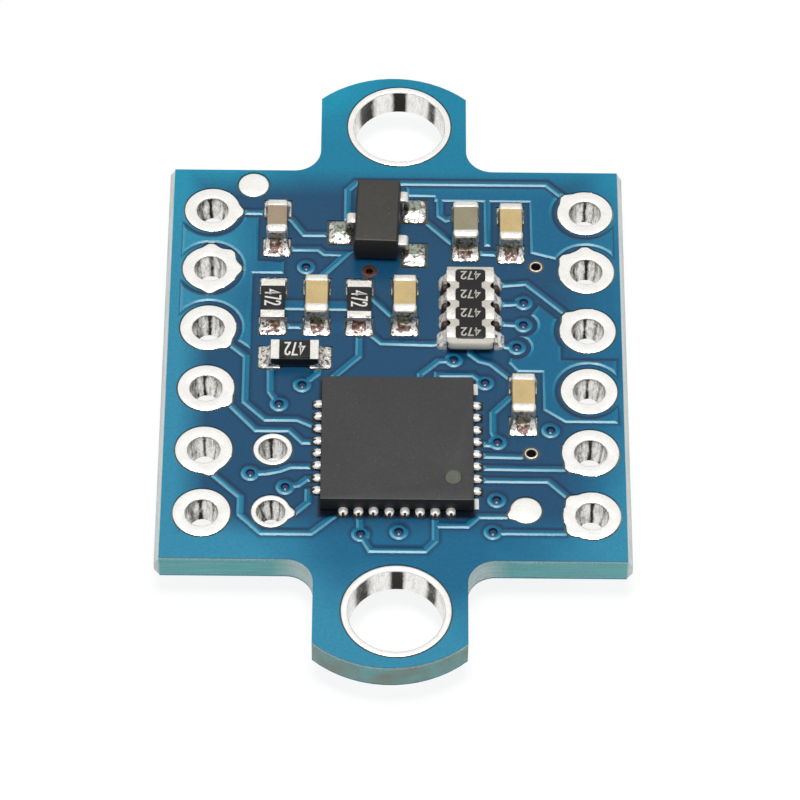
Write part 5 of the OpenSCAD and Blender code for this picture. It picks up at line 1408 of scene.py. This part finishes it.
class BuildResistors(bpy.types.Operator):
    """Eases the resistors' edges and prints their plain number"""
    bl_idname = "sensor_module.resistors"
    bl_label = "Resistors"

    def execute(self, context):
        eased = settings("part_finish").edge_round
        for name, turn in (("resistor_1", -90), ("resistor_2", -90), ("resistor_3", 180)):
            softened(f"{name}_base", f"{name}_block", ["glaze"], "alumina", eased / 2)
            softened(f"{name}_coat", f"{name}_glaze", ["glaze"], "resistor_coat", eased * 0.8)
            softened(f"{name}_ends", f"{name}_metal", ["ends"], "chip_ends", eased / 3, 1)
            centre, size = centre_of(f"{name}_coat")
            bm = bmesh.new()
            printed_number(bm, place_at(centre.x, centre.y, centre.z + size.z / 2, turn), 0.5, 0.29, 0.065)
            new_piece(f"{name}_number", bm, ["ink"], "resistor_coat")
        block = softened("resistor_array_base", "array_block", ["alumina", "notch"], "alumina", eased / 2)
        # painted shade: every side face of the array's base takes the dark flux tone, as those sides lie in
        # shade
        for polygon in block.data.polygons:
            if abs(polygon.normal.z) < 0.3:
                polygon.material_index = 1
        softened("resistor_array_coat", "array_glaze", ["glaze"], "resistor_coat", eased * 0.8)
        softened("resistor_array_ends", "array_metal", ["ends"], "chip_ends", eased / 2)
        centre, size = centre_of("resistor_array_coat")
        bm = bmesh.new()
        for k in range(4):
            printed_number(bm, place_at(centre.x, centre.y + (k - 1.5) * ARRAY_PITCH,
                                        centre.z + size.z / 2, 180), 0.31, 0.28, 0.052)
        new_piece("array_numbers", bm, ["faint_ink"], "resistor_coat")
        # the pale near edge of the array, a lip that narrows at both ends
        centre, size = centre_of("resistor_array_base")
        near, top = centre.y - size.y / 2, centre.z + size.z / 2
        bm = bmesh.new()
        rings = []
        for u in (2 * t - 1 for t in evenly(24)):
            narrow = (1 - abs(u) ** 10) ** 0.5
            section = [(near + 0.05, top - 0.01)]
            section += [(near - 0.11 * math.sin(a) * (0.2 + 0.8 * narrow),
                         top - 0.26 * (1 - math.cos(a)) - 0.005) for a in quarter(8)]
            section += [(near - 0.06 * narrow, top - 0.33), (near + 0.05, top - 0.33)]
            rings.append([vert(bm, centre.x + u * (size.x / 2 - 0.03), y, z) for y, z in section])
        solid(bm, rings)
        new_piece("array_near_edge", bm, ["alumina"], "alumina", sharp=60)
        return {"FINISHED"}


class BuildSolder(bpy.types.Operator):
    """Builds the solder of every terminal on both faces"""
    bl_idname = "sensor_module.solder"
    bl_label = "Solder"

    def execute(self, context):
        def new_solder(name, bm, key, *nodes):
            new_piece(name, bm, [key], "solder", *nodes, sharp=60)
        # node of the ends, turn of the chip and height of its solder
        bm = bmesh.new()
        chips = [(f"capacitor_{k}_ends", 0, 0.54) for k in range(1, 7)]
        chips += [("resistor_1_ends", 0, 0.47), ("resistor_2_ends", 0, 0.47), ("resistor_3_ends", 90, 0.4)]
        land_w, reach, inner = 0.94, 1.225, 0.5
        for n, (node, turn, tall) in enumerate(chips):
            centre, size = centre_of(node)
            w, l = (size.y, size.x) if turn else (size.x, size.y)
            tall *= size.z / 0.8 if size.z > 0.5 else 1
            for k in (0, 180):
                fillet(bm, place_at(centre.x, centre.y, COPPER_Z, turn + k), w, l, land_w, reach,
                       inner, tall, 20 * n + k, 0.35 if turn else 1)
        new_solder("chip_solder", bm, "solder", "solder_top")
        bm = bmesh.new()
        centre, _ = centre_of("mcu_terminals")
        for turn in (0, 90, 180, 270):
            for k in range(8):
                along = Matrix.Translation(((k - 3.5) * LEAD_PITCH * MM, 2.49 * MM, 0))
                bead(bm, place_at(centre.x, centre.y, COPPER_Z, turn) @ along, turn + k)
        new_solder("controller_solder", bm, "bead")
        centre, size = centre_of("resistor_array_ends")
        bm = bmesh.new()
        for side, turn in ((-1, 90), (1, -90)):
            for k in range(4):
                place = place_at(centre.x, centre.y + (k - 1.5) * ARRAY_PITCH, COPPER_Z, turn)
                fillet(bm, place, 0.52, size.x, 0.6 if k else 0.7, 1.07 if k else 1.14, 0.6, 0.5,
                       300 + 10 * side + k, 0.0, 0.8)
        new_solder("array_solder", bm, "frosted")
        # plugs of flux in the notches between the array's terminals, dark also as painted shade
        bm = bmesh.new()
        for side in (-1, 1):
            for k in range(3):
                draw = random.Random(40 * side + k)
                middle = (centre.x + side * (size.x / 2 + 0.03 + draw.uniform(0, 0.04)),
                          centre.y + (k - 1) * ARRAY_PITCH + draw.uniform(-0.03, 0.03))
                solid(bm, [oval(bm, middle, 0.15 * share, 0.17 * share, z, 24) for share, z in (
                    (1, 0.96), (1, 1.05), (0.94, 1.25), (0.8, 1.38), (0.4, 1.45))])
        new_solder("array_flux_and_shade", bm, "notch")
        bm = bmesh.new()
        centre, _ = centre_of("regulator_leads")
        for side, row in ((-1, 0), (1, 1), (1, -1)):
            place = place_at(centre.x + side * 1.245, centre.y - 0.12 + row * 0.95, COPPER_Z, 0)
            pool(bm, place, (sorted((side * -0.18, side * 0.15)), (-0.09, 0.33)), 400 + 10 * side + row)
        new_solder("regulator_solder", bm, "solder")
        dress("solder_bottom", "solder")
        return {"FINISHED"}


class DressSensor(bpy.types.Operator):
    """Gives the distance sensor on the lower face its carrier, cover and windows"""
    bl_idname = "sensor_module.sensor"
    bl_label = "Distance sensor"

    def execute(self, context):
        softened("sensor_base", "sensor_carrier", ["carrier"], "sensor_carrier", 0.01 * MM, 1)
        softened("sensor_cover", "sensor_lid", ["cover"], "sensor_cover", 0.02 * MM)
        dress("sensor_windows", "window")
        return {"FINISHED"}


def light(name, power, size, place):
    """A soft lamp that faces the middle of the board."""
    data = bpy.data.lights.new(name, "AREA")
    data.energy = power
    data.shape = "RECTANGLE"
    data.size, data.size_y = size
    lamp = bpy.data.objects.new(name, data)
    lamp.location = place
    lamp.rotation_euler = (-Vector(place)).to_track_quat("-Z", "Y").to_euler()
    bpy.context.scene.collection.objects.link(lamp)


def seen_plainly(tree):
    """1 for camera, glossy and transmission rays, which see the plain white surround."""
    path = add_node(tree, "ShaderNodeLightPath")
    both = add_node(tree, "ShaderNodeMath", {
        0: path.outputs["Is Camera Ray"], 1: path.outputs["Is Glossy Ray"]}, operation="MAXIMUM")
    return add_node(tree, "ShaderNodeMath", {
        0: both.outputs[0], 1: path.outputs["Is Transmission Ray"]}, operation="MAXIMUM").outputs[0]


def white_card(tone):
    """White card of the floor."""
    # Most of its white comes from itself, so only a faint shadow is left.
    material, tree, _ = start("white_card")
    card = add_node(tree, "ShaderNodeBsdfDiffuse", {"Color": (0.16, 0.16, 0.16, 1)})
    glow = add_node(tree, "ShaderNodeEmission", {"Color": tone, "Strength": 0.88})
    shown = add_node(tree, "ShaderNodeAddShader", {0: card.outputs[0], 1: glow.outputs[0]})
    bounce = add_node(tree, "ShaderNodeBsdfDiffuse", {"Color": (0.8, 0.8, 0.8, 1)})
    both = add_node(tree, "ShaderNodeMixShader", {
        0: seen_plainly(tree), 1: bounce.outputs[0], 2: shown.outputs[0]})
    return end(material, tree, both)


class BuildStudio(bpy.types.Operator):
    """Sets up the pale floor, the soft lights, the plain surround and the camera"""
    bl_idname = "sensor_module.studio"
    bl_label = "Studio"

    def execute(self, context):
        look = settings("studio")
        scene = context.scene
        scene.view_settings.view_transform = "Standard"
        bm = bmesh.new()
        bmesh.ops.create_grid(bm, x_segments=1, y_segments=1, size=1.5)
        mesh = bpy.data.meshes.new("floor")
        bm.to_mesh(mesh)
        bm.free()
        mesh.materials.append(white_card(look.floor))
        floor = bpy.data.objects.new("floor", mesh)
        floor.location = (0, 0, CAD_BOX[0][2] - 0.002 * MM)
        scene.collection.objects.link(floor)
        world = bpy.data.worlds.new("plain_surround")
        world.use_nodes = True
        tree = world.node_tree
        tree.nodes.clear()
        strength = add_node(tree, "ShaderNodeMix", {
            "Factor": seen_plainly(tree), "A": look.ambient, "B": 1.0})
        back = add_node(tree, "ShaderNodeBackground", {
            "Color": (1, 1, 1, 1), "Strength": strength.outputs[0]})
        add_node(tree, "ShaderNodeOutputWorld", {"Surface": back.outputs[0]})
        scene.world = world
        light("top_softbox", look.top_power, (0.1, 0.1), (0, -0.02, 0.3))
        light("left_strip", look.side_power, (0.02, 0.12), (-0.22, -0.04, 0.12))
        light("right_strip", look.side_power, (0.02, 0.12), (0.22, -0.04, 0.12))
        camera_data = bpy.data.cameras.new("photo_view")
        camera_data.lens = look.focal
        camera_data.sensor_width = 36
        camera_data.clip_start = 0.001
        camera = bpy.data.objects.new("photo_view", camera_data)
        right = Vector((0.99994838, 0.00469504, 0.00901043))
        down = Vector((0.00917895, -0.79768699, -0.60300183))
        forward = Vector((0.00435638, 0.60305342, -0.79768891))
        turn = Matrix((right, -down, -forward)).transposed().to_4x4()
        camera.matrix_world = Matrix.Translation(Vector((-0.59693, -95.64345, 125.23435)) * MM) @ turn
        scene.collection.objects.link(camera)
        scene.camera = camera
        return {"FINISHED"}


class SensorModulePanel(bpy.types.Panel):
    """Lists the steps that build the module"""
    bl_idname = "VIEW3D_PT_sensor_module"
    bl_label = "Sensor module"
    bl_space_type = "VIEW_3D"
    bl_region_type = "UI"
    bl_category = "Sensor module"

    def draw(self, context):
        for step in STEPS:
            self.layout.operator(step.bl_idname)
        for group, _ in GROUPS:
            box = self.layout.box()
            values = settings(group)
            for field in values.__annotations__:
                box.prop(values, field)


STEPS = (
    BuildStudio, DressLaminate, DressMask, DressCopper, BuildPlatedHoles, BuildTestPads,
    DressController, DressRegulator, BuildCapacitors, BuildResistors, BuildSolder, DressSensor,
)
GROUPS = (("board_finish", BoardFinish), ("part_finish", PartFinish), ("studio", StudioSettings))


def register():
    for name, group in GROUPS:
        bpy.utils.register_class(group)
        setattr(bpy.types.Scene, name, bpy.props.PointerProperty(type=group))
    for item in STEPS + (SensorModulePanel,):
        bpy.utils.register_class(item)


def unregister():
    for item in reversed(STEPS + (SensorModulePanel,)):
        bpy.utils.unregister_class(item)
    for name, group in reversed(GROUPS):
        delattr(bpy.types.Scene, name)
        bpy.utils.unregister_class(group)


def main():
    register()
    for step in STEPS:
        area, action = step.bl_idname.split(".")
        getattr(getattr(bpy.ops, area), action)()


if __name__ == "__main__":
    main()
